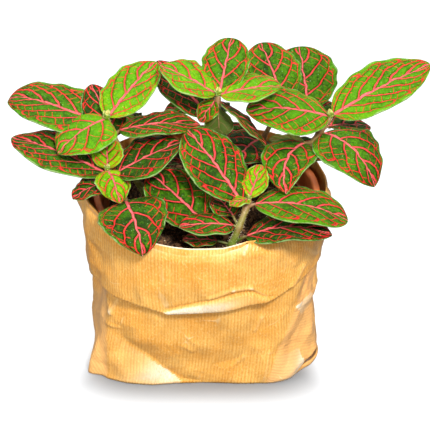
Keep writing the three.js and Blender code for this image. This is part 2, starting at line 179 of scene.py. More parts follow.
class Finish:
    def __init__(self, name, constants):
        self.material = bpy.data.materials.new(name)
        self.material.use_nodes = True
        self.tree = self.material.node_tree
        self.surface = self.tree.nodes["Principled BSDF"]
        for key, value in constants.items():
            self.surface.inputs[key].default_value = value

    def add(self, kind, settings, inputs, output=0):
        return addNode(self.tree, kind, settings, inputs, output)

    def axes(self, vector):
        return [self.add("ShaderNodeSeparateXYZ", {}, {0: vector}, number) for number in range(3)]

    def attribute(self, name):
        return self.axes(self.add("ShaderNodeAttribute", {"attribute_name": name}, {}, "Vector"))

    def point(self, x, y, z=0.0):
        return self.add("ShaderNodeCombineXYZ", {}, {0: x, 1: y, 2: z})

    def noise(self, vector, scale, detail=2.0, roughness=0.5, kind="FBM"):
        return self.add(
            "ShaderNodeTexNoise", {"noise_type": kind},
            {"Vector": vector, "Scale": scale, "Detail": detail, "Roughness": roughness})

    def chance(self, x, y, z):  # a random number for each whole x, y and z
        return self.add("ShaderNodeTexWhiteNoise", {}, {"Vector": self.point(x, y, z)}, "Value")

    def cells(self, vector, scale):  # distance from the nearest of scattered points
        return self.add("ShaderNodeTexVoronoi", {"feature": "F1"}, {"Vector": vector, "Scale": scale})

    def mix(self, share, *colours):  # those given as numbers are colours of a picture
        first, second = (
            pictureColour(*colour) if isinstance(colour, tuple) else colour for colour in colours)
        return self.add("ShaderNodeMix", {"data_type": "RGBA"}, {0: share, 6: first, 7: second}, 2)

    def paint(self, colour, *layers):  # each layer: how much of it shows, and its colour
        for share, layer in layers:
            colour = self.mix(share, colour, layer)
        self.feed("Base Color", colour)

    def feed(self, key, value):
        self.tree.links.new(value.socket, self.surface.inputs[key])

    def bump(self, height, distance, strength=1.0, normal=None):
        inputs = {"Height": height, "Distance": distance, "Strength": strength}
        if normal is not None:
            inputs["Normal"] = normal
        return self.add("ShaderNodeBump", {}, inputs)

    def objectPlace(self):
        return self.add("ShaderNodeTexCoord", {}, {}, "Object")


# Camera, lamps and floor
view = {
    "elevation": 33, "distance": 900, "target": (0, 0, 75),
    "focalPixels": 1654.4, "picture": 430, "targetPixel": (205, 213), "sensor": 36,
}


def makeCamera():
    data = bpy.data.cameras.new("camera")
    camera = bpy.data.objects.new("camera", data)
    scene.collection.objects.link(camera)
    data.sensor_width = view["sensor"]
    data.lens = view["sensor"] * view["focalPixels"] / view["picture"]
    middle = view["picture"] / 2
    data.shift_x = (middle - view["targetPixel"][0]) / view["picture"]
    data.shift_y = (view["targetPixel"][1] - middle) / view["picture"]
    data.clip_end = 20
    rise = math.radians(view["elevation"])
    x, y, z = view["target"]
    camera.location = (
        x * mm,
        (y - view["distance"] * math.cos(rise)) * mm,
        (z + view["distance"] * math.sin(rise)) * mm)
    camera.rotation_euler = (math.pi / 2 - rise, 0, 0)
    scene.camera = camera


lamps = [
    {"name": "key", "place": (0.3, -0.8, 1.12), "size": 0.26, "power": 19.5,
     "colour": (1, 0.99, 0.97)},
    {"name": "topLamp", "place": (-0.1, 0.5, 1.15), "size": 0.9, "power": 9, "colour": (1, 1, 1)},
    {"name": "frontLamp", "place": (0.15, -1.2, 0.25), "size": 0.5, "power": 4.6,
     "colour": (1, 1, 1)},
    {"name": "leftLamp", "place": (-0.9, -0.45, 0.85), "size": 0.5, "power": 5, "colour": (1, 1, 1)},
    {"name": "rearLamp", "place": (0.1, 1.2, 0.3), "size": 0.6, "power": 6, "colour": (1, 1, 1)},
]
studio = {"aimHeight": 0.08, "worldLight": 0.3}
# The floor glows all round, but not close to the front of the bag, where the dip in its glow is a
# painted shadow
floorGlow = {
    "paint": (0.24, 0.254, 0.272, 1), "far": 0.86, "from": 1.0, "to": 1.52, "centre": -0.003,
    "halfWidth": 0.056, "halfDepth": 0.053, "side": 0.062, "sideSlope": 1.6, "sideFrom": -0.06,
    "sideTo": -0.02,
}


def makeLights():
    for lamp in lamps:
        data = bpy.data.lights.new(lamp["name"], "AREA")
        data.shape = "DISK"
        data.size = lamp["size"]
        data.energy = lamp["power"]
        data.color = lamp["colour"]
        light = bpy.data.objects.new(lamp["name"], data)
        scene.collection.objects.link(light)
        # the rear lamp lights the back, without a sheen on the leaves in front
        light.visible_glossy = lamp["name"] != "rearLamp"
        light.location = lamp["place"]
        towards = -light.location.copy()
        towards.z += studio["aimHeight"]
        light.rotation_euler = towards.to_track_quat("-Z", "Y").to_euler()
    world = bpy.data.worlds.new("studio")
    world.use_nodes = True
    background = world.node_tree.nodes["Background"]
    background.inputs["Color"].default_value = (1, 1, 1, 1)
    background.inputs["Strength"].default_value = studio["worldLight"]
    scene.world = world
    scene.view_settings.view_transform = "Standard"
    scene.view_settings.look = "None"


def makeFloor():
    piece = addPrimitive(bpy.ops.mesh.primitive_plane_add, size=8)
    piece.name = "floor"
    finish = Finish("floorPaint", {
        "Roughness": 0.9, "Base Color": floorGlow["paint"], "Emission Strength": 1})
    x, y, _ = finish.axes(finish.objectPlace())
    x = (x - floorGlow["centre"]) / floorGlow["halfWidth"]
    y = y / floorGlow["halfDepth"]
    clear = (x ** 4 + y ** 4).root().root().rise(floorGlow["from"], floorGlow["to"])
    beside = (abs(x) * floorGlow["halfWidth"] - floorGlow["side"]) * floorGlow["sideSlope"]
    beside = beside + y * floorGlow["halfDepth"]
    shade = (1 - clear) * (1 - beside.rise(floorGlow["sideFrom"], floorGlow["sideTo"]))
    glow = (1 - shade) * floorGlow["far"]
    finish.feed("Emission Color", finish.point(glow, glow, glow))
    piece.visible_diffuse = False  # the white floor doesn't light the paper from below
    piece.visible_glossy = False
    piece.data.materials.append(finish.material)


makeCamera()
makeLights()
makeFloor()
print("camera, lights and floor made")


# Stems and leaves
leafShape = {
    "steps": 40, "rows": 60, "columns": 30, "thickness": 0.45, "wave": 0.8, "waves": 1.7,
    "oddSide": 1.9, "fineWave": 0.32, "fineWaves": 4.7, "quilt": 0.5, "groove": 0.35,
    "grooveHalf": 1.1, "fullSize": 40, "tipCurlFrom": 0.7,
}
# What a leaf has unless its row says otherwise: fold along the midrib, cup across it, roll about it,
# curl of the tip, sweep to one side, fullness at base and tip, and how far its veins are missing
leafUsual = {
    "fold": 0.15, "cup": -0.15, "roll": 0, "curl": 0, "sweep": 0, "baseFullness": 0.55,
    "tipFullness": 0.66, "plain": 0,
}
stemShape = {
    "soil": 81.2, "above": 1.5, "depth": 12, "taper": 0.28, "knot": 1.25, "knotSpread": 0.025,
    "stalk": 1.0, "stalkDrop": 0.05, "stalkLeast": 0.22, "tone": 0.45, "steps": 34,
}
hairShape = {"number": 260, "long": 1.6, "thick": 0.07, "firstDraw": 100}
hairTone = 1.6  # above every leaf's tone, so the stem's finish knows the hairs by it
budShape = {
    "leaves": 4, "length": 6.5, "width": 4.2, "rise": 62, "below": 0.6, "rows": 10, "columns": 6,
}


def makeLeaf(at, stalk, heading, rise, length, width, droop, tone, red, **more):
    # at: its place on the stem; tone: from dark (0) to young (1); red: how red its veins are
    return {
        **leafUsual, "at": at, "stalk": stalk, "heading": heading, "rise": rise, "length": length,
        "width": width, "droop": droop, "tone": tone, "red": red, **more}


# Each stem: its root in the soil, the point that it leans towards, its tip, radius and bud size
plants = [
    {
        "name": "leftTallStem", "node": "leafy_stem_left_tall", "slot": "dark_leaf",
        "root": (-30, 0), "lean": (-44, 0, 108), "tip": (-52, 8, 129.5),
        "radius": 1.9, "bud": 0.9, "leaves": [
            makeLeaf(1.0, 1, 51, 30, 43, 29, 14, 0.68, 0.4, roll=4, fold=0.2),
            makeLeaf(1.0, 0, 217, 2, 34, 38, 46, 0.6, 0.2, cup=-0.3, baseFullness=0.38),
            makeLeaf(0.86, 4, 156, 17, 61, 34, 24, 0.28, 0.1, curl=46, roll=-14),
            makeLeaf(0.84, 4, 357, 19, 44, 26, 30, 0.2, 0.0),
            makeLeaf(0.72, 3, 118, 40, 34, 24, 16, 0.0, 0.5),
            makeLeaf(0.5, 3, 350, 12, 28, 13, 20, 0.05, 0.3),
        ],
    },
    {
        "name": "leftLowStem", "node": "leafy_stem_left_low", "slot": "dark_leaf",
        "root": (-34, -22), "lean": (-44, -22, 100), "tip": (-51, -16, 112.5),
        "radius": 1.7, "bud": 0.6, "leaves": [
            makeLeaf(1.0, 0.5, 92, 38, 18, 17, 15, 0.9, 0.3, fold=0.25),
            makeLeaf(1.0, 0.5, 290, -3, 23, 19, 40, 0.85, 0.3, cup=-0.3, baseFullness=0.42,
                     tipFullness=0.75),
            makeLeaf(0.88, 3, 154, 16, 58, 33, 20, 0.16, 0.5, roll=-4),
            makeLeaf(0.88, 3, 12, 29, 38, 34, 14, 0.06, 0.9, roll=4),
            makeLeaf(0.78, 6, 210, 6, 19, 17, 40, 0.05, 0.3),
            makeLeaf(0.55, 11, 286, 10, 39, 36, 62, 0.1, 0.6, roll=8, curl=20, baseFullness=0.38,
                     tipFullness=0.75),
        ],
    },
    {
        "name": "centreStem", "node": "leafy_stem_centre", "slot": "fresh_leaf",
        "root": (2, 4), "lean": (4, 6, 115), "tip": (7, 14, 140.3),
        "radius": 1.9, "bud": 0.8, "leaves": [
            makeLeaf(1.0, 1, 162, 28, 34, 32, 16, 0.72, 0.5, fold=0.2),
            makeLeaf(1.0, 1, 6, 15, 33, 31, 20, 0.7, 0.5, fold=0.2),
            makeLeaf(0.9, 7, 76, 40, 33, 26, 8, 0.3, 0.2, tipFullness=0.5),
            makeLeaf(0.94, 3.5, 276, -60, 14.5, 16, 4, 0.2, 0.2, roll=180, baseFullness=0.8,
                     tipFullness=0.4),
            makeLeaf(0.72, 5, 131, 24, 46, 28, 6, 0.05, 0.5),
            makeLeaf(0.96, 2, 335, -28, 34.5, 22, 22, 0.12, 0.2, roll=-25),
            makeLeaf(0.98, 2.5, 220, -34, 14, 12, 18, 0.45, 0.1, roll=-20),
        ],
    },
    {
        "name": "rightStem", "node": "leafy_stem_right", "slot": "fresh_leaf",
        "root": (38, 4), "lean": (52, 6, 106), "tip": (67, 15, 126.6),
        "radius": 2.0, "bud": 0.8, "leaves": [
            makeLeaf(1.0, 2, 21, 26, 60, 32, 15, 0.5, 0.3, roll=18, fold=0.2),
            makeLeaf(1.0, 1, 188, 23, 46, 36, 32, 0.45, 0.3, roll=-14, cup=-0.25),
            makeLeaf(0.82, 3, 314, 12, 45, 39, 85, 0.26, 0.7, cup=-0.25, baseFullness=0.42,
                     tipFullness=0.75),
            makeLeaf(0.66, 3, 172, 12, 20, 14, 20, 1.2, 0.0, plain=0.4),
            makeLeaf(0.74, 10, 228, 8, 43, 29, 42, 0.22, 0.5, sweep=56, baseFullness=0.4,
                     tipFullness=0.85),
            makeLeaf(0.88, 3, 28, -6, 28, 20, 20, 0.1, 0.3),
        ],
    },
    {
        "name": "frontStem", "node": "leafy_stem_front", "slot": "dark_leaf",
        "root": (12.5, -46), "lean": (16, -49, 92), "tip": (23, -34, 106),
        "radius": 2.1, "bud": 0.5, "leaves": [
            makeLeaf(1.0, 0.5, 68, 36, 19.5, 14.5, 5, 0.9, 0.2, fold=0.25),
            makeLeaf(1.0, 0.5, 220, 14, 13, 9, 20, 0.9, 0.2),
            makeLeaf(0.86, 3, 135, 40, 49, 33, 12, 0.15, 0.65, roll=-10, baseFullness=0.75,
                     tipFullness=0.6),
            makeLeaf(0.92, 4, 353, 12, 50, 35, 45, 0.3, 0.8, tipFullness=0.55),
            makeLeaf(0.58, 3, 190, 16, 29, 22, 25, 0.16, 0.8),
            makeLeaf(0.6, 7, 122, 20, 17, 17, 20, 0.05, 0.5),
            makeLeaf(0.25, 8, 352, 30, 46, 28, 54, 0.02, 0.9),
            makeLeaf(0.2, 8, 178, 10, 18, 14, 20, 0.1, 0.5),
        ],
    },
    {
        "name": "backRightStem", "node": "leafy_stem_back_right", "slot": "dark_leaf",
        "root": (22, 24), "lean": (32, 28, 108), "tip": (43, 30, 128),
        "radius": 1.6, "bud": 0.5, "leaves": [
            makeLeaf(1.0, 1, 114, 38, 36, 33, 8, 0.24, 0.3, tipFullness=0.55),
            makeLeaf(0.52, 3, 238, 10, 32, 29, 20, 0.0, 0.9, roll=-12),
            makeLeaf(0.4, 3, 255, 5, 30, 15, 30, 0.0, 0.8),
        ],
    },
    {
        "name": "innerStem", "node": "leafy_stem_inner", "slot": "dark_leaf",
        "root": (-2, -30), "lean": (-2, -34, 88), "tip": (0, -38, 93),
        "radius": 1.6, "bud": 0.4, "leaves": [
            makeLeaf(1.0, 1, 141, 30, 41, 33, 15, 0.14, 0.75, roll=-14),
        ],
    },
    {
        "name": "rearLeftStem", "node": "leafy_stem_rear_left", "slot": "dark_leaf",
        "root": (-30, 28), "lean": (-38, 36, 104), "tip": (-44, 44, 118),
        "radius": 1.6, "bud": 0.8, "leaves": [
            makeLeaf(1.0, 3, 82, 5, 30, 24, 45, 0.3, 0.4),
            makeLeaf(1.0, 3, 176, 10, 36, 26, 35, 0.25, 0.4),
            makeLeaf(0.6, 4, 118, 0, 32, 24, 40, 0.1, 0.6),
            makeLeaf(0.85, 3, 255, 15, 24, 18, 30, 0.5, 0.4),
        ],
    },
    {
        "name": "rearCentreStem", "node": "leafy_stem_rear_centre", "slot": "dark_leaf",
        "root": (2, 38), "lean": (3, 46, 104), "tip": (4, 52, 120),
        "radius": 1.6, "bud": 0.8, "leaves": [
            makeLeaf(1.0, 4, 62, 8, 30, 24, 35, 0.5, 0.4),
            makeLeaf(1.0, 4, 146, 8, 34, 24, 35, 0.4, 0.4),
            makeLeaf(0.6, 4, 92, 0, 34, 24, 40, 0.1, 0.7),
            makeLeaf(0.8, 3, 180, 8, 24, 20, 35, 0.3, 0.5),
            makeLeaf(0.5, 3, 350, 0, 28, 20, 35, 0.1, 0.6),
        ],
    },
    {
        "name": "rearRightStem", "node": "leafy_stem_rear_right", "slot": "dark_leaf",
        "root": (32, 36), "lean": (46, 43, 98), "tip": (58, 46, 111),
        "radius": 1.6, "bud": 0.6, "leaves": [
            makeLeaf(1.0, 2, 100, 49, 38, 38, 16, 0.22, 0.4, tipFullness=0.5),
            makeLeaf(1.0, 4, 20, 0, 28, 22, 40, 0.15, 0.4),
            makeLeaf(0.5, 4, 325, 0, 25, 22, 20, 0.05, 0.6),
            makeLeaf(0.8, 3, 82, 12, 32, 24, 40, 0.2, 0.5),
        ],
    },
]

# How the veins run: pairs of side veins that arch forward, loops that join them near the
# margin, rungs between them and a fringe outside the loops. Sizes in millimetres
veins = {
    "spacing": 9.6, "fewest": 3.5, "archStart": 0.3, "archBend": 0.24, "baseArch": 0.5,
    "offset": 0.45, "zigzag": 2.4, "wanderOut": 1.4, "wanderAlong": 2.0, "loopAt": 0.83,
    "loopOut": 0.05, "loopJoin": 0.11, "rungs": 4.0, "fringe": 3.0,
    "midBase": 1.9, "midTip": 0.6, "sideBase": 1.05, "sideEnd": 0.5, "loop": 0.4, "rung": 0.42,
    "spur": 0.26, "stub": 0.28,
}


def veinPhase(along, across, pairs):  # whole numbers fall on the side veins
    spread = veins["baseArch"] + (1 - veins["baseArch"]) * np.clip(along / 0.5, 0, 1)
    return (along - across * (veins["archStart"] + across * veins["archBend"]) * spread) * pairs


def outlineAt(share, leaf):
    base, tip = leaf["baseFullness"], leaf["tipFullness"]
    widest = base / (base + tip)
    return (share / widest) ** base * ((1 - share) / (1 - widest)) ** tip


def pointing(heading, rise):
    heading, rise = math.radians(heading), math.radians(rise)
    return np.array([
        math.cos(rise) * math.cos(heading), math.cos(rise) * math.sin(heading), math.sin(rise)])


def stemPoint(plant, at):
    root = np.array([*plant["root"], stemShape["soil"] + stemShape["above"]])
    lean, tip = np.array(plant["lean"], float), np.array(plant["tip"], float)
    return (1 - at) ** 2 * root + 2 * at * (1 - at) * lean + at ** 2 * tip


def stemRadius(plant, share):
    return plant["radius"] * (1 - stemShape["taper"] * share)


def midrib(leaf, start):  # points of the midrib, with the side and face directions there
    steps, tipFrom = leafShape["steps"], leafShape["tipCurlFrom"]
    point = np.array(start, float)
    points, sides, faces = [], [], []
    roll = math.radians(leaf["roll"])
    for i in range(steps + 1):
        share = i / steps
        tipShare = max(0, (share - tipFrom) / (1 - tipFrom))
        rise = leaf["rise"] - leaf["droop"] * share ** 1.2 - leaf["curl"] * tipShare ** 2
        heading = leaf["heading"] + leaf["sweep"] * share
        along = pointing(heading, rise)
        level = pointing(heading + 90, 0)
        upright = np.cross(along, level)
        points.append(point.copy())
        sides.append(level * math.cos(roll) + upright * math.sin(roll))
        faces.append(upright * math.cos(roll) - level * math.sin(roll))
        point += along * leaf["length"] / steps
    return [np.array(rows) for rows in (points, sides, faces)]


def between(rows, share):
    place = np.clip(share, 0, 1) * leafShape["steps"]
    index = np.minimum(place.astype(int), leafShape["steps"] - 1)
    part = (place - index)[:, None]
    return rows[index] * (1 - part) + rows[index + 1] * part


def addLeafValues(piece, place, kind, tone):
    addAttribute(piece, "leafPlace", place)
    addAttribute(piece, "leafKind", kind)
    addAttribute(piece, "leafTone", tone)
    piece.data.materials.clear()
    for finish in (leafTop, leafUnder, stemSkin):
        piece.data.materials.append(finish.material)


def makeBlade(leaf, frames, phase, seed, rows, columns):
    blade = addPrimitive(
        bpy.ops.mesh.primitive_grid_add, x_subdivisions=columns, y_subdivisions=rows, size=2)
    flat = placesOf(blade)
    across = -flat[:, 0]
    share = 0.5 - 0.5 * np.cos(np.pi * (flat[:, 1] + 1) / 2)
    share = 0.003 + share * 0.9955  # neither end comes to a point
    points, sides, faces = (between(rows, share) for rows in frames)
    half = leaf["width"] / 2 * outlineAt(share, leaf)
    out = np.abs(across)
    odd = np.where(across < 0, leafShape["oddSide"], 0)
    swell = np.sqrt(np.sin(np.pi * share))
    swing = np.sin(2 * np.pi * leafShape["waves"] * share + phase + odd)
    fine = np.sin(2 * np.pi * leafShape["fineWaves"] * share + 2.3 * phase + 2 * odd)
    size = min(1, leaf["length"] / leafShape["fullSize"])
    pairs = max(veins["fewest"], round(leaf["length"] / veins["spacing"]))
    cell = veinPhase(share, out, pairs) + np.where(across > 0, veins["offset"], 0)
    puff = np.sin(np.pi * cell) ** 2 * np.clip(out / 0.25, 0, 1) * np.clip((1 - out) / 0.3, 0, 1)
    dip = np.exp(-(out * half / leafShape["grooveHalf"]) ** 2)
    lift = half * (leaf["fold"] * out + leaf["cup"] * out ** 2)
    lift = lift + leafShape["wave"] * swing * out ** 2 * swell
    lift = lift + size * swell * (
        leafShape["fineWave"] * fine * out ** 4 + leafShape["quilt"] * puff
        - leafShape["groove"] * dip)
    spread = across * half * (1 + 0.02 * fine * out)
    setPlaces(blade, (points + sides * spread[:, None] + faces * lift[:, None]) * mm)
    addLeafValues(
        blade, (share, across, half), (leaf["length"], pairs, seed),
        (leaf["tone"], leaf["red"], leaf["plain"]))
    applyModifier(
        blade, "SOLIDIFY", thickness=leafShape["thickness"] * mm, offset=-1, use_quality_normals=True,
        material_offset=1, material_offset_rim=1)
    selectOnly(blade)
    bpy.ops.object.shade_smooth()
    return blade


def coverWithSkin(piece, tone, plain):  # for what isn't a leaf
    addLeafValues(piece, (0.5, 0, 1), (30, 6, 0), (tone, 0.3, plain))
    piece.data.polygons.foreach_set("material_index", np.full(len(piece.data.polygons), 2))


def makeRod(points, radii, tone):
    data = bpy.data.curves.new("rod", "CURVE")
    data.dimensions = "3D"
    data.bevel_depth = mm
    data.bevel_resolution = 3
    data.use_fill_caps = True
    line = data.splines.new("POLY")
    line.points.add(len(points) - 1)
    for spot, place, radius in zip(line.points, points, radii):
        spot.co = (*(np.array(place) * mm), 1)
        spot.radius = radius
    rod = bpy.data.objects.new("rod", data)
    scene.collection.objects.link(rod)
    selectOnly(rod)
    bpy.ops.object.convert(target="MESH")
    rod = bpy.context.object
    coverWithSkin(rod, tone, 0)
    bpy.ops.object.shade_smooth()
    return rod


def makeStalk(plant, leaf, start, frames):  # runs on under the leaf as its midrib
    base = stemPoint(plant, leaf["at"] - stemShape["stalkDrop"])
    thick = stemShape["stalk"] * min(1, 0.5 + leaf["length"] / 60)
    path = [base + (start - base) * share for share in (0, 0.3, 0.6, 0.9)]
    radii = [thick * size for size in (1.15, 0.95, 0.85, 0.8)]
    for share in (0.03, 0.08, 0.15, 0.25, 0.4, 0.6, 0.75):
        at = np.array([share])
        radius = max(stemShape["stalkLeast"], thick * (0.75 - 1.8 * share))
        under = leafShape["groove"] + leafShape["thickness"] + radius * 0.55
        path.append(between(frames[0], at)[0] - between(frames[2], at)[0] * under)
        radii.append(radius)
    return makeRod(path, radii, leaf["tone"])


def makeStem(plant):
    under = np.array([*plant["root"], stemShape["soil"] - stemShape["depth"]])
    shares = np.linspace(0, 1, stemShape["steps"])
    path = [under] + [stemPoint(plant, share) for share in shares]
    radii = [plant["radius"]]
    for share in shares:
        near = max(
            math.exp(-((share - leaf["at"] + 0.03) / stemShape["knotSpread"]) ** 2)
            for leaf in plant["leaves"])
        radii.append(stemRadius(plant, share) * (1 + (stemShape["knot"] - 1) * near))
    radii[-1] *= 0.6
    return makeRod(path, radii, stemShape["tone"])


def makeHairs(plant, number):  # fine pale hairs, each a narrow three-sided spike
    draw = random.Random(hairShape["firstDraw"] + number)
    thick = hairShape["thick"]
    corners, faces = [], []
    for _ in range(hairShape["number"]):
        share = draw.uniform(0.05, 1)
        middle = stemPoint(plant, share)
        along = stemPoint(plant, share + 0.01) - middle
        along /= np.linalg.norm(along)
        side = np.cross(along, pointing(draw.uniform(0, 360), 0))
        side /= np.linalg.norm(side)
        out = side + along * draw.uniform(-0.3, 0.5)
        beside = np.cross(along, side) * thick
        foot = middle + side * stemRadius(plant, share) * 0.9
        first = len(corners)
        corners += [
            foot + beside, foot - beside, foot + along * thick * 1.6,
            foot + out * draw.uniform(0.5, 1) * hairShape["long"]]
        faces += [(first, first + 1, first + 2), (first, first + 3, first + 1),
                  (first + 1, first + 3, first + 2), (first + 2, first + 3, first)]
    data = bpy.data.meshes.new("hairs")
    data.from_pydata([tuple(corner * mm) for corner in corners], [], faces)
    hairs = bpy.data.objects.new("hairs", data)
    scene.collection.objects.link(hairs)
    coverWithSkin(hairs, hairTone, 1)
    turnFacesOut(hairs)
    return hairs


def makeBud(plant, number):  # small folded leaves at the growing tip
    start = stemPoint(plant, 1.0) - np.array([0, 0, budShape["below"]])
    size = plant["bud"]
    parts = []
    for i in range(budShape["leaves"]):
        young = makeLeaf(
            1, 0, 40 + 90 * i + 25 * number, budShape["rise"] - 14 * (i % 2),
            (budShape["length"] - i * 0.8) * size, budShape["width"] * size, -30, 1, 0.1,
            fold=0.7, cup=-0.2, plain=1)
        parts.append(makeBlade(
            young, midrib(young, start), 0.7 * i, 3 * i, budShape["rows"], budShape["columns"]))
    return parts


def makePlant(plant, number):
    parts = [makeStem(plant)]
    for i, leaf in enumerate(plant["leaves"]):
        base = stemPoint(plant, leaf["at"])
        start = base + pointing(leaf["heading"], leaf["rise"]) * leaf["stalk"]
        frames = midrib(leaf, start)
        phase = 0.9 * ((number * 3 + i * 5) % 7)
        parts.append(makeBlade(
            leaf, frames, phase, number * 10 + i, leafShape["rows"], leafShape["columns"]))
        parts.append(makeStalk(plant, leaf, start, frames))
    parts.extend(makeBud(plant, number))
    parts.append(makeHairs(plant, number))
    standFor(joinPieces(parts, plant["name"]), plant["node"])


# Leaf colours, from the darkest leaves to the youngest
leafColours = {
    "ground": [(0.0, (30, 60, 0)), (0.15, (52, 94, 0)), (0.35, (68, 124, 0)), (0.6, (86, 152, 0)),
               (0.85, (108, 170, 0)), (1.0, (140, 184, 0))],
    "vein": (236, 62, 48), "redVein": (222, 26, 38), "midrib": (248, 112, 114),
    "margin": (158, 186, 118), "under": (40, 54, 6), "youngUnder": (130, 160, 40),
    "underVein": (110, 96, 50), "underMargin": (150, 182, 108), "bud": (244, 236, 140),
    "speck": (196, 214, 170),
}
stemColours = {
    "old": (74, 104, 28), "young": (150, 172, 56), "upper": (176, 118, 84), "patch": (128, 60, 44),
    "grain": (222, 206, 160), "hair": (238, 222, 190),
}


def toneRamp(finish, tone):
    stops = [(place, pictureColour(*colour)) for place, colour in leafColours["ground"]]
    return finish.add("ShaderNodeValToRGB", {"stops": stops}, {0: tone})


def line(away, wide, soft=0.13):  # 1 on a line of this width in millimetres
    return 1 - away.rise(wide * 0.5 - soft, wide * 0.5 + soft)


def veinMasks(finish):
    share, across, half = finish.attribute("leafPlace")
    length, pairs, seed = finish.attribute("leafKind")
    side = across.above(0.0)
    spot = finish.point(share * length, across * half, seed * 31.7)
    slow = finish.noise(spot, 0.14, 1.0) - 0.5
    quick = finish.noise(finish.point(share * length, across * half, seed * 17.3 + 9), 0.4, 1.0) - 0.5
    zigzag = finish.noise(finish.point(share * length, seed * 11.1), 0.2, 1.0) - 0.5
    out = abs(across + zigzag * share.rise(0.05, 0.3) * veins["zigzag"] / half)
    wander = slow * veins["wanderOut"] + quick * 0.3
    bent = (out + wander * (out * 3).least(1.0) / half).most(0.0)
    along = share + (slow * veins["wanderAlong"] + quick * 0.4) / length
    spread = (share * 2).least(1.0) * (1 - veins["baseArch"]) + veins["baseArch"]
    arch = bent * (bent * veins["archBend"] + veins["archStart"]) * spread
    phase = (along - arch) * pairs + side * veins["offset"] + (seed * 0.37).fraction() * 0.4
    part = phase.fraction()
    cell = phase.whole() + side * 40 + seed * 3.1
    slope = (bent * (2 * veins["archBend"]) + veins["archStart"]) * spread / half
    crowd = bent * (bent * veins["archBend"] + veins["archStart"]) * (2 - 2 * veins["baseArch"])
    crowd = 1 - crowd * (1 - share.above(0.5))
    steep = (slope * slope + crowd * crowd / (length * length)).root() * pairs
    sideAway = (0.5 - abs(part - 0.5)) / steep
    bow = 4 * veins["loopOut"]
    scallop = part * (1 - part) * bow + veins["loopAt"] - part * part * veins["loopJoin"]
    tilt = ((1 - 2 * part) * bow - part * (2 * veins["loopJoin"])) * pairs * half / length
    loopAway = abs(bent - scallop) * half / (tilt * tilt + 1).root()
    started = phase.rise(0.02, 0.12)
    outside = (bent - scallop).rise(-0.01, 0.02).most(1 - started)
    fullness = (slow * 0.5 + 1) * (length * 0.02 + 0.4).least(1.0)
    sideWide = (veins["sideBase"] - bent * (veins["sideBase"] - veins["sideEnd"])) * fullness
    reach = 1 - (bent - veins["loopAt"]).rise(0.0, 0.03)
    sideWide = sideWide * (1 - bent.rise(0.55, 0.84) * 0.45)
    sides = line(sideAway, sideWide) * reach
    loops = line(loopAway, veins["loop"] * fullness) * started

    # rungs between two side veins: whole ones in the outer part of the leaf, short spurs within
    outer = bent.rise(0.3, 0.44)
    rung = (share * length * 0.8 + bent * half * 0.6 + slow * 2 + quick * 0.8) / veins["rungs"]
    rung = rung + (cell * 0.618).fraction()
    kept = finish.chance(cell, rung.whole(), 1.0)
    kind = finish.chance(cell, rung.whole(), 2.0).above(0.5)
    spur = part.rise(0.3, 0.45) * kind + (1 - part).rise(0.3, 0.45) * (1 - kind)
    seen = (kept + outer * 0.5).above(0.68) * (1 - spur * (1 - outer))
    rungWide = outer * (veins["rung"] - veins["spur"]) + veins["spur"]
    rungs = line(abs(rung.fraction() - 0.5) * veins["rungs"], rungWide * fullness) * seen

    # stubs and small arcs between the loops and the margin
    fringe = (share * length - bent * half * 0.3 + quick) / veins["fringe"] + seed * 0.3
    fringeKept = finish.chance(fringe.whole(), side, seed)
    stubs = line(abs(fringe.fraction() - 0.5) * veins["fringe"], veins["stub"])
    stubs = stubs * fringeKept.above(0.4)
    arcAt = fringe.fraction() * (1 - fringe.fraction()) * 0.16 + 0.86
    arcs = line(abs(bent - arcAt) * half, veins["stub"]) * fringeKept.above(0.6)
    inFringe = outside * (1 - bent.rise(0.9, 0.93))

    midWide = (veins["midBase"] - share * (veins["midBase"] - veins["midTip"])) * 0.5
    midWide = midWide * (length * 0.016 + 0.3).least(1.0)
    mid = 1 - (out * half).rise(midWide - 0.15, midWide + 0.15)
    core = 1 - (out * half).rise(midWide * 0.2, midWide * 0.8)
    inside = 1 - outside
    net = (rungs * inside).most(stubs.most(arcs) * inFringe)
    fine = sides.most(loops).most(net * 0.92)
    ending = (1 - bent.rise(0.93, 0.96)) * (1 - share.rise(0.95, 0.985))
    halo = line(sideAway, sideWide + 0.8, 0.35) * reach
    halo = halo.most(line(loopAway, veins["loop"] + 0.7, 0.35) * started)
    halo = halo.most(1 - (out * half).rise(midWide, midWide + 0.6))
    groove = (1 - sideAway.rise(0.0, 1.5)) * inside
    return {
        "mid": mid, "core": core, "fine": fine * ending, "halo": halo * ending, "groove": groove,
        "spot": spot, "share": share, "out": out, "bent": bent}


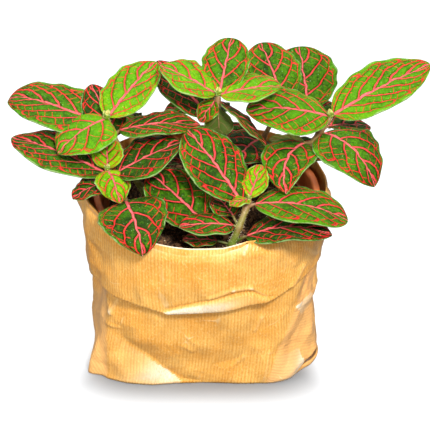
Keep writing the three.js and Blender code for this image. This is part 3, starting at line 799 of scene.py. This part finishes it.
def makeLeafTop():
    finish = Finish("leafTop", {"Specular IOR Level": 0.15})
    masks = veinMasks(finish)
    tone, red, plain = finish.attribute("leafTone")
    patches = finish.noise(masks["spot"], 0.1, 2.0) - 0.5
    mottle = finish.noise(masks["spot"], 0.62, 3.0, 0.7) - 0.5
    pebbles = finish.noise(masks["spot"], 1.9, 3.0, 0.65)
    nearBase = (1 - masks["share"].rise(0.0, 0.4)) * tone * tone
    level = tone + patches * 0.6 + nearBase * 0.5 + mottle * 1.1 + masks["bent"].rise(0.7, 1.0) * 0.16
    ground = toneRamp(finish, level - masks["halo"] * 0.16)
    veinColour = finish.mix(red, leafColours["vein"], leafColours["redVein"])
    pink = (masks["mid"] * 0.35 + masks["core"] * 0.45) * (tone * 0.8 + 0.7).least(1.1)
    pink = pink + (1 - masks["bent"].rise(0.0, 0.6)) * 0.36
    veinColour = finish.mix(pink.least(1.0), veinColour, leafColours["midrib"])
    specks = 1 - finish.cells(masks["spot"], 0.5).rise(0.05, 0.14)
    finish.paint(
        ground,
        (masks["mid"].most(masks["fine"]) * (1 - plain), veinColour),
        (plain, leafColours["bud"]),
        (masks["out"].rise(0.955, 0.99) * 0.75, leafColours["margin"]),
        (specks * 0.55, leafColours["speck"]))
    finish.feed("Roughness", pebbles * 0.25 + 0.36)
    height = pebbles * 0.4 + mottle * 0.7 - finish.cells(masks["spot"], 1.0) * 0.5
    height = height - masks["fine"] * 0.3 - masks["groove"] - masks["mid"] * 0.5
    finish.feed("Normal", finish.bump(height, 0.001, 1.0))
    return finish


def makeLeafUnder():
    finish = Finish("leafUnder", {"Roughness": 0.6, "Specular IOR Level": 0.2})
    masks = veinMasks(finish)
    tone, _, plain = finish.attribute("leafTone")
    finish.paint(
        finish.mix(tone, leafColours["under"], leafColours["youngUnder"]),
        (masks["mid"].most(masks["fine"]) * (1 - plain) * 0.55, leafColours["underVein"]),
        (masks["out"].rise(0.97, 0.99) * 0.6, leafColours["underMargin"]))
    finish.feed("Normal", finish.bump(masks["fine"] + masks["mid"], 0.0004, 0.7))
    return finish


def makeStemSkin():
    finish = Finish("stemSkin", {"Roughness": 0.5})
    place = finish.objectPlace()
    tone = finish.attribute("leafTone")[0]
    grain = finish.noise(place, 420.0, 3.0)
    patches = finish.noise(place, 90.0, 2.0)
    upper = (finish.axes(place)[2] + (patches - 0.5) * 0.02).rise(0.088, 0.108)
    finish.paint(
        finish.mix(tone.least(1.0), stemColours["old"], stemColours["young"]),
        (upper * 0.6, stemColours["upper"]),
        (patches.rise(0.5, 0.66) * 0.4, stemColours["patch"]),
        (grain.rise(0.55, 0.75) * 0.35, stemColours["grain"]),
        (tone.above(hairTone - 0.1), stemColours["hair"]))
    finish.feed("Normal", finish.bump(grain, 0.0004, 0.6))
    return finish


leafTop = makeLeafTop()
leafUnder = makeLeafUnder()
stemSkin = makeStemSkin()
for number, plant in enumerate(plants):
    makePlant(plant, number)
print("stems and leaves made")


# Nursery pot: rings of radius and height, drawn up from one circle
pot = {
    "centre": 1, "segments": 96, "holes": 6, "holeCircle": 28, "holeRadius": 4, "bevel": 0.35,
    "rings": [
        (42, 1.5), (54.5, 77), (58.8, 77.8), (59.8, 87.8), (61, 88.4), (61, 90), (58.4, 90),
        (57.2, 89.2), (56.9, 78.6), (53.2, 76.4), (40.7, 4.1),
    ],
    "colours": ((255, 142, 70), (255, 126, 56)), "dust": (120, 66, 36), "insideShade": (112, 60, 32),
    "shadedWithin": (57.3, 58.3),  # painted shade on the inner wall: full within the first radius, none outside the second
}


def drawUp(name, rings, centre, segments):
    radius, height = rings[0]
    piece = addPrimitive(
        bpy.ops.mesh.primitive_circle_add, vertices=segments, radius=radius * mm, fill_type="NGON")
    piece.name = name
    piece.data.transform(Matrix.Translation((centre * mm, 0, height * mm)))
    bpy.ops.object.mode_set(mode="EDIT")
    bpy.ops.mesh.select_all(action="SELECT")
    for nextRadius, nextHeight in rings[1:]:
        bpy.ops.mesh.extrude_region_move(
            TRANSFORM_OT_translate={"value": (0, 0, (nextHeight - height) * mm)})
        scale = nextRadius / radius
        bpy.ops.transform.resize(
            value=(scale, scale, 1), center_override=(centre * mm, 0, nextHeight * mm))
        radius, height = nextRadius, nextHeight
    bpy.ops.object.mode_set(mode="OBJECT")
    turnFacesOut(piece)
    return piece


def makeDrainHoles():
    holes = []
    for number in range(pot["holes"]):
        turn = 2 * math.pi * number / pot["holes"]
        x, y = pot["holeCircle"] * math.cos(turn), pot["holeCircle"] * math.sin(turn)
        holes.append(addPrimitive(
            bpy.ops.mesh.primitive_cylinder_add, ((pot["centre"] + x) * mm, y * mm, 3 * mm),
            vertices=24, radius=pot["holeRadius"] * mm, depth=8 * mm))
    return joinPieces(holes, "drainHoles")


def makePotPlastic():
    finish = Finish("potPlastic", {"Roughness": 0.4})
    place = finish.objectPlace()
    dust = finish.noise(place, 300.0, 4.0, 0.7)
    x, y, _ = finish.axes(place)
    x = x - pot["centre"] * mm
    # painted shade: the inner wall is painted darker, standing in for its shadow
    inside = 1 - (x * x + y * y).root().rise(pot["shadedWithin"][0] * mm, pot["shadedWithin"][1] * mm)
    finish.paint(
        finish.mix(finish.noise(place, 60.0, 3.0), *pot["colours"]),
        (dust.rise(0.55, 0.8) * 0.5, pot["dust"]),
        (inside * 0.4, pot["insideShade"]))
    finish.feed("Roughness", dust * 0.25 + 0.3)
    finish.feed("Normal", finish.bump(dust, 0.0002, 0.4))
    return finish


def makePot():
    holes = makeDrainHoles()
    piece = drawUp("nurseryPot", pot["rings"], pot["centre"], pot["segments"])
    applyModifier(piece, "BOOLEAN", operation="DIFFERENCE", object=holes, solver="EXACT")
    bpy.data.objects.remove(holes)
    applyModifier(
        piece, "BEVEL", width=pot["bevel"] * mm, segments=2, limit_method="ANGLE", angle_limit=0.5)
    selectOnly(piece)
    bpy.ops.object.shade_smooth_by_angle(angle=math.radians(40))
    piece.data.materials.append(makePotPlastic().material)
    standFor(piece, "nursery_pot")


makePot()
print("pot made")


# Potting soil: a filled block whose top is crumbly, with crumbs and pale grains lying on it
soil = {
    "level": 81.2, "radius": 52.6, "foot": 4.4, "footRadius": 40.2, "rings": 60, "segments": 150,
    "relief": 0.7, "dish": 0.8, "rough": (-0.5, 0.6), "crumbs": 950, "smallest": 0.35, "largest": 1.7,
    "stretch": (0.6, 1.5), "jitter": (0.75, 1.2), "palest": 0.91, "paleLargest": 0.75, "seed": 7,
    "colours": ((56, 40, 30), (164, 120, 82)), "light": (196, 144, 98), "pale": (236, 208, 160),
}


def soilHeight(x, y):
    crumbs = (np.sin(0.55 * x + 1.3) * np.sin(0.6 * y - 0.4)
              + 0.6 * np.sin(1.21 * x + 0.33 * y) * np.cos(1.07 * y - 0.21 * x)
              + 0.4 * np.sin(0.23 * x - 0.31 * y + 2))
    edge = (x * x + y * y) / soil["radius"] ** 2
    return soil["level"] + soil["relief"] * crumbs + soil["dish"] * (edge - 0.6)


def makePeat():
    finish = Finish("peat", {"Roughness": 0.95, "Specular IOR Level": 0.2})
    tone = finish.attribute("crumbTone")[0]
    grain = finish.noise(finish.objectPlace(), 700.0, 4.0, 0.7)
    finish.paint(
        finish.mix(grain.rise(0.45, 0.75), *soil["colours"]),
        (tone.rise(0.25, 0.55) * 0.6, soil["light"]),
        (tone.above(0.8), soil["pale"]))
    finish.feed("Normal", finish.bump(grain, 0.0008, 0.9))
    return finish


def makeSoil():
    rings = [(soil["footRadius"], soil["foot"]), (soil["radius"], soil["level"])]
    step = soil["radius"] / soil["rings"]
    rings += [(soil["radius"] - step * i, soil["level"]) for i in range(1, soil["rings"])]
    piece = drawUp("pottingSoil", rings, pot["centre"], soil["segments"])
    places = placesOf(piece) / mm
    top = places[:, 2] > soil["level"] - 0.5
    x, y = places[:, 0] - pot["centre"], places[:, 1]
    draw = random.Random(soil["seed"])
    rough = np.array([draw.uniform(*soil["rough"]) for _ in range(len(places))])
    places[:, 2] = np.where(top, soilHeight(x, y) + rough, places[:, 2])
    setPlaces(piece, places * mm)
    addAttribute(piece, "crumbTone", (0.1, 0, 0))
    parts = [piece]
    pattern = addPrimitive(bpy.ops.mesh.primitive_ico_sphere_add, subdivisions=1, radius=1)
    shape = placesOf(pattern)
    for _ in range(soil["crumbs"]):
        turn = draw.uniform(0, 2 * math.pi)
        reach = soil["radius"] * math.sqrt(draw.random()) * 0.98
        cx, cy = reach * math.cos(turn), reach * math.sin(turn)
        size = draw.uniform(soil["smallest"], 1.0) ** 1.5 * soil["largest"]
        pale = draw.random() > soil["palest"]
        if pale:
            size = draw.uniform(soil["smallest"], soil["paleLargest"])
        stretch = np.array([draw.uniform(*soil["stretch"]) for _ in range(3)])
        jitter = np.array([[draw.uniform(*soil["jitter"])] for _ in range(len(shape))])
        crumb = pattern.copy()
        crumb.data = pattern.data.copy()
        scene.collection.objects.link(crumb)
        spot = np.array([cx + pot["centre"], cy, soilHeight(cx, cy) + size * 0.35])
        setPlaces(crumb, (shape * stretch * jitter * size + spot) * mm)
        addAttribute(crumb, "crumbTone", (1.0 if pale else draw.uniform(0, 0.5), 0, 0))
        parts.append(crumb)
    bpy.data.objects.remove(pattern)
    piece = joinPieces(parts, "pottingSoil")
    piece.data.materials.clear()
    piece.data.materials.append(makePeat().material)
    standFor(piece, "potting_soil")


makeSoil()
print("soil made")


# Paper bag: one sheet that runs from the base up the wall, over the rim and down outside as a
# cuff, whose lower edge is rolled under
bag = {
    "around": 300, "denseFront": 0.35, "thickness": 0.35, "foot": 0.8, "wallInset": 0.7,
    "rimInset": 2.3, "rimHeight": 92.6, "rimPeak": 3.6, "backPeak": 2, "rimRound": 1.0,
    "cuffTop": 1.9, "cuffStep": -1.3, "cuffFlare": -2.9, "rollRound": 1.0, "rollIn": 1.4,
    "turnedUnder": 5, "cornerFold": 4, "cornerFoldTop": 78, "cornerPoint": 8, "cornerPointTop": 30,
    "seam": 12, "frontTo": 57, "calm": 0.82, "fineCalm": 0.78, "potRim": 84,
}
# Where its outline has corners and peaks: middle and spread, in degrees round the bag
bagCorners = {
    "rightFront": (-43, 20), "leftFront": (-143, 10), "rimPeak": (-152, 30), "back": (80, 60),
}
# Crumples of each size: spacing, height and draw
crumples = {
    "coarse": (17, 2.4, 21), "middle": (8.5, 0.95, 22), "small": (4.2, 0.3, 23),
    "cuffCoarse": (16, 1.6, 24), "cuffMiddle": (8, 0.6, 25),
}
# Half sizes and squareness of the plan, by height
bagPlan = np.array([
    (0, 60.5, 52.5, 5.0), (7, 61.0, 53.5, 4.6), (26, 60.0, 56.0, 3.6), (48, 59.0, 58.5, 3.0),
    (70, 63.5, 61.5, 2.5), (100, 68.0, 63.0, 2.1)])
# Lower edge of the cuff in front, and how tall its rolled band is, by x
cuffEdges = np.array([
    (-62, 58), (-51, 57.2), (-47, 56), (-40, 56.5), (-30, 55.1), (-17.8, 52), (-12, 52.9), (-3, 53.6),
    (10, 54.8), (21, 57.8), (30, 58.4), (35, 59.5), (44, 63.5), (51, 65.2), (58, 64), (64, 62)])
cuffBands = np.array([
    (-23, 0), (-18, 2.4), (-8, 5), (4, 7.4), (15, 8.6), (24, 7.4), (30, 3), (35, 0)])
# Flat facets of the front wall: x, height and how far each point stands out
wallFacets = [
    (-70, -2, 0), (-70, 20, 0), (-70, 45, 0), (-70, 75, 0), (-56, -2, 0.2), (-56, 16, -0.6),
    (-56, 33, -0.9), (-56, 46, -0.9), (-51, -1, 2.4), (-51, 16, 1.6), (-50.5, 33, 0.9),
    (-50.5, 46, 0.9), (-50, 60, 0.5), (-38, 0, 3.0), (-26, 0, 3.4), (-18, 0, 2.4),
    (-43, 28, -0.9), (-32, 20.5, -1.5), (-20, 8.5, -1.4), (-12.5, 3, -0.4), (-46, 39, 0.9),
    (-42, 48, -0.4), (-36, 38, 0.5), (-26, 28, 0.9), (-13, 17, 0.9), (-6, 6, 1.0),
    (-25, 56, -0.4), (-12, 42, 0.2), (0, 52, 0.2), (-2, 29, 0.9), (4, 14, 0.3), (6, 0, 1.0),
    (13, 36, 0.5), (20, 54, 0.3), (31.5, 60, -1.0), (27, 38, -1.2), (21, 19, -1.3), (12, 10, 0.9),
    (18, 0, 1.8), (24, 9, 0.6), (29, 0, 1.9), (51, 68, 0.8), (46.5, 50, 1.5), (41, 29, 1.6),
    (34, 21, -0.2), (46, 22, -0.9), (40, 3, 3.2), (50, 8, 3.0), (52, 17, -0.4), (53, 36, 0.2),
    (50, 43, 1.7), (55, 52, -1.6), (60, 62, -1.2), (60, 42, 0.4), (60, 26, 0.6), (62, 8, 1.0),
    (75, -2, 0), (75, 30, 0), (75, 75, 0), (0, 75, 0), (-30, 75, 0), (30, 75, 0),
]
# Folded corners of the front wall that catch the light: x, height and brightness
lightPatches = [
    [(-51, -1, 0.5), (-51, 31, 0.4), (-32, 19, 0.9), (-20, 8, 1.8), (-12, 1, 1.1), (-18, -1, 1.1)],
    [(29, -1, 0.6), (34, 18, 0.3), (50, 16, 1), (52, 6, 1.7), (42, -1, 1.1)],
    [(46.5, 46, 1.4), (56, 45, 1.2), (57.5, 36, 0.7), (50, 37, 1.0)]]


def hump(turn, centre, spread):
    centre, spread = math.radians(centre), math.radians(spread)
    apart = np.arctan2(np.sin(turn - centre), np.cos(turn - centre))
    return np.exp(-(apart / spread) ** 2)


def bagPoint(turn, height, inset):
    level = np.clip(height, 0, 100)
    halfWidth, halfDepth, squareness = (
        np.interp(level, bagPlan[:, 0], bagPlan[:, column]) for column in (1, 2, 3))
    power = 2 / squareness
    x = np.sign(np.cos(turn)) * np.abs(np.cos(turn)) ** power
    y = np.sign(np.sin(turn)) * np.abs(np.sin(turn)) ** power
    fold = np.maximum(0, 1 - height / bag["cornerFoldTop"]) * hump(turn, *bagCorners["rightFront"])
    folded = inset + bag["cornerFold"] * fold
    pointed = bag["cornerPoint"] * np.maximum(0, 1 - height / bag["cornerPointTop"])
    pointed = pointed * hump(turn, *bagCorners["leftFront"])
    return np.stack([
        (halfWidth - folded) * x - pointed, (halfDepth - folded) * y - pointed * 0.25,
        height], axis=-1)


def inFront(turn):  # 1 on the front of the bag, 0 behind
    return np.clip((-np.sin(turn) - 0.12) / 0.2, 0, 1)


def rimAt(turn):
    x = bagPoint(turn, np.full_like(turn, 92.0), 0)[..., 0]
    raised = np.interp(x, (10, 22.5, 24, 38, 50), (0, 2.6, 2.6, 0.8, 0))
    sagging = np.interp(x, (-35, -10, 10), (0, 1.1, 0.6)) * (np.abs(x) < 35)
    wave = 0.4 * np.sin(7 * turn + 1) + 0.3 * np.sin(13 * turn + 2)
    peaks = bag["rimPeak"] * hump(turn, *bagCorners["rimPeak"])
    peaks = peaks + bag["backPeak"] * hump(turn, *bagCorners["back"])
    return bag["rimHeight"] + peaks + (raised - sagging) * inFront(turn) + wave * (1 - inFront(turn))


def cuffEdgeAt(turn):
    x = bagPoint(turn, np.full_like(turn, 57.0), 0)[..., 0]
    front = np.interp(x, cuffEdges[:, 0], cuffEdges[:, 1])
    behind = 60 - 9 * hump(turn, -125, 48) + 0.8 * np.sin(5 * turn)
    return behind + (front - behind) * inFront(turn)


# Creases of the front as seen: start and end (x and height), width, height of the ridge
frontCreases = {
    "wall": [
        (-51, 50, -49, 42, 1.5, 0.7), (-51, 55, -47, 56, 1.5, 0.5), (-49, 42, -44, 56, 1.6, 0.9),
        (-51, 34, -45, 35, 1.4, 0.6), (-9.5, 34.6, -5.8, 30, 1.5, 0.5),
        (-11, 28, -6.4, 24.6, 1.4, 0.5),
        (-20, 30, -14, 22, 1.6, 0.3), (30, 45.5, 26.5, 37, 1.4, 0.8), (32, 56, 30, 45.5, 1.6, 0.4),
        (14, 12, 21, 19, 1.5, 0.5), (24, 9, 21, 19, 1.4, 0.4), (30, 3, 34, 21, 1.5, 0.5),
        (47, 44, 55, 50, 1.6, 0.5), (34, 21, 46, 22, 1.5, 0.4), (-4, 10, 4, 7, 1.4, 0.3),
    ],
    "cuff": [
        (2, 63, 14, 68.4, 1.6, 0.8), (14, 68.4, 23, 69, 1.6, 0.9), (23, 69, 31, 62, 1.6, 0.7),
        (24, 96, 19.5, 90, 1.6, 0.7), (19.5, 90, 22, 84, 1.6, 0.4), (44, 63, 50, 72, 2.0, 0.8),
        (-44, 62, -47, 84, 4.0, 0.5), (-36, 84, -31, 66, 4.0, 0.4), (38, 90, 45, 76, 2.4, 0.6),
        (50, 84, 58, 72, 2.4, 0.9), (30, 80, 36, 68, 2.4, 0.4), (-36, 58, -33, 63, 1.5, 0.4),
    ],
}


def ridges(x, height, layer):
    total = np.zeros_like(x)
    for x1, h1, x2, h2, width, size in frontCreases[layer]:
        dx, dh = x2 - x1, h2 - h1
        part = np.clip(((x - x1) * dx + (height - h1) * dh) / (dx * dx + dh * dh), 0, 1)
        away = np.hypot(x - x1 - part * dx, height - h1 - part * dh)
        total += 1.1 * size * np.maximum(0, 1 - away / width)
    return total


def hollow(x, height, middle, reach, slope=0):  # 1 in the middle of a hollow, 0 at its edge
    across, up = x - middle[0], height - middle[1]
    return np.maximum(0, 1 - np.hypot(across / reach[0], (up - across * slope) / reach[1]))


def onFacets(along, height, points):  # flat facets between points, each with its level
    corners, _, faces = delaunay_2d_cdt([point[:2] for point in points], [], [], 0, 0.001)[:3]
    result = np.zeros_like(along)
    for face in faces:
        (x1, y1), (x2, y2), (x3, y3) = (corners[i] for i in face)
        near = np.nonzero(
            (along >= min(x1, x2, x3)) & (along <= max(x1, x2, x3))
            & (height >= min(y1, y2, y3)) & (height <= max(y1, y2, y3)))[0]
        area = (x2 - x1) * (y3 - y1) - (x3 - x1) * (y2 - y1)
        if len(near) == 0 or area == 0:
            continue
        a, h = along[near], height[near]
        second = ((a - x1) * (y3 - y1) - (x3 - x1) * (h - y1)) / area
        third = ((x2 - x1) * (h - y1) - (a - x1) * (y2 - y1)) / area
        first = 1 - second - third
        inside = (first >= -0.001) & (second >= -0.001) & (third >= -0.001)
        value = sum(part * points[i][2] for part, i in zip((first, second, third), face))
        result[near[inside]] = value[inside]
    return result


def crumpled(along, height, spacing, size, seed):  # facets all over the sheet, up to this high
    draw = random.Random(seed)
    points = []
    for i in range(int(460 / spacing) + 2):
        for j in range(int(150 / spacing) + 2):
            points.append((
                -230 + spacing * (i + draw.uniform(-0.45, 0.45)),
                -20 + spacing * (j + draw.uniform(-0.45, 0.45)), draw.uniform(-1, 1)))
    return onFacets(along, height, points) * size


def bagRows():  # (kind, share) of each row of the sheet
    rows = [("base", share) for share in (0.02, 0.3, 0.6, 0.85, 0.96)]
    rows += [("wall", share) for share in (*np.linspace(0, 0.68, 72), *np.linspace(0.72, 1, 8))]
    rows += [("rim", share) for share in np.linspace(0.12, 0.88, 6)]
    rows += [("cuff", share) for share in np.linspace(0, 1, 48)]
    rows += [("roll", share) for share in np.linspace(0.15, 1, 6)]
    rows += [("under", share) for share in (0.35, 0.7, 1)]
    return rows


def setPaperPlace(piece, places, row, column):
    # flat place of each point on the sheet: across from the middle of the front, up from the base
    grid = np.zeros((row.max() + 1, column.max() + 1, 3))
    grid[row, column] = places
    steps = np.linalg.norm(np.diff(grid, axis=1), axis=2)
    across = np.concatenate([np.zeros((len(grid), 1)), np.cumsum(steps, axis=1)], axis=1)
    across -= across[:, [bag["around"] // 2]]
    rises = np.linalg.norm(np.diff(grid, axis=0), axis=2).mean(axis=1)
    up = np.concatenate([[0], np.cumsum(rises)])
    layer = piece.data.uv_layers.active
    layer.name = "paperPlace"
    corner = np.empty(len(piece.data.loops), int)
    piece.data.loops.foreach_get("vertex_index", corner)
    paperPlace = np.stack([across[row, column][corner], up[row][corner]], axis=1) / 100
    layer.data.foreach_set("uv", paperPlace.ravel())


def makeBag():
    rows = bagRows()
    piece = addPrimitive(
        bpy.ops.mesh.primitive_grid_add, x_subdivisions=bag["around"], y_subdivisions=len(rows) - 1,
        size=2)
    piece.name = "paperBag"
    flat = placesOf(piece)
    column = np.rint((flat[:, 0] + 1) / 2 * bag["around"]).astype(int)
    row = np.rint((flat[:, 1] + 1) / 2 * (len(rows) - 1)).astype(int)

    # steps round the plan, from the middle of the back, closer together in front
    turns = np.linspace(math.pi / 2, 5 * math.pi / 2, 4001)
    ring = bagPoint(turns, np.full_like(turns, 30.0), np.zeros_like(turns))
    lengths = np.concatenate([[0], np.cumsum(np.linalg.norm(np.diff(ring, axis=0), axis=1))])
    part = column / bag["around"]
    part = part + bag["denseFront"] / (2 * math.pi) * np.sin(2 * math.pi * part)
    turn = np.interp(part * lengths[-1], lengths, turns)
    along = (part - 0.5) * lengths[-1]
    kinds = np.array([kind for kind, _ in rows])[row]
    share = np.array([share for _, share in rows])[row]
    base, wall, rimmed, cuff, roll, under = (
        kinds == kind for kind in ("base", "wall", "rim", "cuff", "roll", "under"))
    outer = cuff | roll | under
    rim, edge = rimAt(turn), cuffEdgeAt(turn)

    # the smooth sheet: its height and how far it lies inside the plan
    height = np.select([wall, rimmed, cuff, roll, under], [
        bag["foot"] + share * (rim - bag["foot"]),
        rim + bag["rimRound"] * np.sin(np.pi * share),
        rim + (edge - rim) * share,
        edge - bag["rollRound"] * np.sin(np.pi * share),
        edge + bag["turnedUnder"] * share], 0.0)
    hidden = np.clip((height - edge + 4) / 6, 0, 1)  # behind the cuff
    down = np.clip((rim - height) / 7, 0, 1)
    lean = (bag["rimInset"] - bag["wallInset"]) * np.clip((height - 90) / 2.5, 0, 1)
    step = bag["cuffTop"] + (bag["cuffStep"] - bag["cuffTop"]) * np.sin(down * np.pi / 2)
    step = step + 0.8 * (1 - down) ** 2 * inFront(turn)
    inset = np.select([wall, rimmed, cuff, roll, under], [
        bag["wallInset"] * hidden ** 2 + lean,
        bag["rimInset"] + (bag["cuffTop"] - bag["rimInset"]) * share,
        step + (bag["cuffFlare"] - bag["cuffStep"]) * share ** 2,
        bag["cuffFlare"] + share * bag["rollIn"],
        bag["cuffFlare"] + bag["rollIn"]], 0.0)

    # crumples, lower in the middle of the front, which has its own facets and creases
    front = inFront(turn)
    x = bagPoint(turn, height, 0)[:, 0]
    seam = np.clip((lengths[-1] / 2 - np.abs(along)) / bag["seam"], 0, 1)
    middleFront = front * np.clip((bag["frontTo"] - np.abs(x)) / 6, 0, 1)
    calm = 1 - bag["calm"] * middleFront
    fineCalm = 1 - bag["fineCalm"] * middleFront
    folds = {name: crumpled(along, height, *values) for name, values in crumples.items()}
    wallMove = folds["coarse"] * calm + (folds["middle"] + folds["small"]) * fineCalm
    wallMove = wallMove * seam * np.clip(height / 3, 0, 1) * (1 - hidden)
    cuffMove = folds["cuffCoarse"] * calm + (folds["cuffMiddle"] + folds["small"]) * fineCalm
    cuffMove = cuffMove * seam * np.clip((rim - height) / 4 + 0.25, 0, 1)
    wallCreases = ridges(x, height, "wall") * front * (1 - hidden)
    cuffCreases = ridges(x, height, "cuff") * front
    wallMove = wallMove + wallCreases + onFacets(x, height, wallFacets) * front * (1 - hidden)

    # layers at the right foot, and the dent where the cuff ends on the right
    shadedGap = hollow(x, height, (56, 5.9), (6, 2.0), 0.4) * front * wall
    wallMove = wallMove - 2.5 * shadedGap - 3.5 * hollow(x, height, (60, 58), (9, 6)) * front
    cuffMove = cuffMove + cuffCreases - 1.5 * hollow(x, height, (60, 64), (6, 5)) * front

    # the cuff's lower edge is rolled into a band, with a groove above it
    band = np.interp(x, cuffBands[:, 0], cuffBands[:, 1])
    rise = (height - edge) / np.maximum(band, 0.5)
    bulge = np.sqrt(np.maximum(0, 1 - (1.7 * rise - 0.7) ** 2)) * np.clip(band / 2, 0, 1.1)
    bulge = bulge * (rise < 1.01)
    groove = np.maximum(0, 1 - np.abs(height - edge - band - 0.6) / 1.2) * np.clip(band / 2, 0, 1)
    groove = groove * 0.7
    cuffMove = np.maximum(cuffMove + (bulge - groove) * front * cuff, -1.0)
    # inward folds stay shallow where the pot's rim is close behind the wall
    room = np.clip((np.abs(height - bag["potRim"]) - 8) / 6, 0, 1)
    wallMove = np.where(wallMove < 0, wallMove * room, wallMove)
    inset = inset - np.where(wall, wallMove, 0) - np.where(outer, cuffMove, 0)
    places = bagPoint(turn, height, inset)
    foot = bagPoint(turn, np.zeros_like(turn), np.zeros_like(turn))
    places[base] = foot[base] * share[base][:, None]
    setPlaces(piece, places * mm)
    setPaperPlace(piece, places, row, column)

    # painted light of the paper: painted highlights on the creases, the rolled band, the rim strip
    # and the folded corners, and painted shade in the gap at the right foot
    rolled = bulge * front * np.interp(x, (-12, 8, 26), (1.9, 1.3, 0.5))
    paintedLight = np.where(outer, np.abs(cuffCreases) + rolled, np.where(wall, np.abs(wallCreases), 0))
    paintedLight += sum(onFacets(x, height, patch) for patch in lightPatches) * front * wall
    strip = np.interp(x, (-38, -30, 18, 24), (0, 1, 1, 0)) * front
    below = np.where(cuff, np.clip(1 - (rim - height) / 5, 0, 1), 0)
    paintedLight += 1.6 * strip * np.where(rimmed, 1, below)
    # painted shade: the gap at the right foot is painted dark
    paintedLight = paintedLight * (1 - np.minimum(1, 4 * shadedGap)) - 4 * shadedGap
    # the left panel and the gusset get painted light: lighter and pinker paint, as light falls on
    # them
    leftPanel = np.clip((-51 - x) / 1.0, 0, 1) * wall * front
    gusset = np.clip((x - (31 + 0.33 * height)) / 1.2, 0, 1) * wall * front
    addAttribute(piece, "paperFold", (paintedLight, leftPanel, gusset))

    turnFacesOut(piece, mergeWithin=0.00001)
    applyModifier(piece, "SOLIDIFY", thickness=bag["thickness"] * mm, offset=-1)
    selectOnly(piece)
    bpy.ops.object.shade_smooth()
    piece.data.materials.append(makePaper().material)
    standFor(piece, "paper_bag")


# Folds: the straight fine ones of crumpled paper, by direction in degrees, distance apart and slope
paper = {
    "ribSpacing": 1.74,
    "folds": [(12, 13, 0.08), (38, 21, 0.055), (141, 16, 0.055), (163, 9, 0.06), (84, 23, 0.03)],
    "colours": ((238, 168, 72), (250, 193, 102)), "rib": (206, 132, 44),
    "lightFleck": (255, 216, 146), "darkFleck": (212, 136, 48), "gusset": (252, 188, 118),
    # stroke, shine and the palest colour are painted highlights, the darkest colour is painted shade
    # in the gap, and the gusset and left panel colours paint the side panels lighter as light falls
    # on them
    "leftPanel": (250, 192, 124), "stroke": (255, 230, 176), "shine": (255, 226, 172),
    "highlight": (255, 248, 228), "shadedGap": (70, 40, 20),
}


def makePaper():
    finish = Finish("kraftPaper", {
        "Roughness": 0.42, "Specular IOR Level": 0.38, "Coat Roughness": 0.2})
    sheet = finish.add("ShaderNodeUVMap", {"uv_map": "paperPlace"}, {})
    across, up, _ = (axis * 100 for axis in finish.axes(sheet))
    paintedLight, leftPanel, gusset = finish.attribute("paperFold")

    # the ribs run up the sheet, and slanting on the left panel and the gusset
    wander = finish.noise(finish.point(across * 0.15, up * 0.02), 1.0, 2.0)
    straight = across + (wander - 0.5) * 1.6
    leftward = across * 0.75 + up * 0.66
    level = across * 0.25 + up * 0.97
    run = straight + (leftward - straight) * leftPanel.above(0.5)
    run = run + (level - run) * gusset.above(0.5)
    cross = up + (across - up) * gusset.above(0.5)
    ribs = (run * (2 * math.pi / paper["ribSpacing"])).sine() * 0.5 + 0.5
    streaks = finish.noise(finish.point(run * 1.1, cross * 0.07), 1.0, 4.0, 0.6)
    broken = (streaks - 0.2).most(0.0) * 2.0
    fibres = finish.noise(finish.point(run * 3.5, cross * 0.5), 1.0, 3.0, 0.65)
    clouds = finish.noise(finish.point(across * 0.05, up * 0.05), 1.0, 3.0)
    mottle = finish.noise(finish.point(run * 1.2, cross * 0.7), 1.0, 3.0, 0.7)

    # short pale strokes, where fine creases catch the light
    strokes = 1 - abs(finish.noise(sheet, 4.5, 1.0, 0.4) - 0.5).rise(0.0, 0.012)
    strokes = strokes * finish.noise(sheet, 7.0, 1.0).rise(0.56, 0.7)
    # painted highlights where the painted light is high, on creases, band, rim strip and folded
    # corners
    shine = paintedLight.rise(0.25, 1.6)
    finish.paint(
        finish.mix(clouds.rise(0.3, 0.7), *paper["colours"]),
        ((ribs * broken).least(1.0) * 0.8, paper["rib"]),
        (mottle.rise(0.5, 0.7) * 0.5, paper["lightFleck"]),
        ((1 - mottle.rise(0.3, 0.48)) * 0.45, paper["darkFleck"]),
        # painted light on the side panels: lighter and pinker paint, as light falls on them
        (gusset * 0.6, paper["gusset"]),
        (leftPanel * 0.6, paper["leftPanel"]),
        (strokes * 0.4, paper["stroke"]),
        (shine * 0.46, paper["shine"]),
        # painted highlight on the brightest folds
        (paintedLight.rise(0.9, 1.8) * fibres.rise(0.3, 0.55) * 0.8, paper["highlight"]),
        # painted shade in the gap at the right foot
        ((0 - paintedLight).rise(0.3, 1.2) * 0.9, paper["shadedGap"]))
    finish.feed("Coat Weight", shine * fibres.rise(0.3, 0.7) * 0.6)
    finish.feed("Roughness", fibres * 0.2 + 0.24)
    folds = 0
    for number, (angle, apart, slope) in enumerate(paper["folds"]):
        angle = math.radians(angle)
        bend = finish.noise(sheet, 3.0, 1.0, 0.5) * 6 + number * 5.3
        place = (across * math.cos(angle) + up * math.sin(angle) + bend) / apart
        folds = folds + abs(place.fraction() - 0.5) * (apart * slope)
    folds = folds + finish.noise(sheet, 7.0, 3.0, 0.55, "RIDGED_MULTIFRACTAL") * 0.26 + strokes * 0.08
    patchy = finish.noise(sheet, 2.6, 2.0).rise(0.34, 0.62) * 0.8 + 0.2
    relief = finish.bump(ribs * 0.4 + mottle * 0.8 + fibres * 0.3, 0.00025, 0.8)
    finish.feed("Normal", finish.bump(folds * patchy, 0.001, 1.0, relief))
    return finish


makeBag()
print("bag made")

def plain(box):
    return [[float(value) for value in corner] for corner in box]
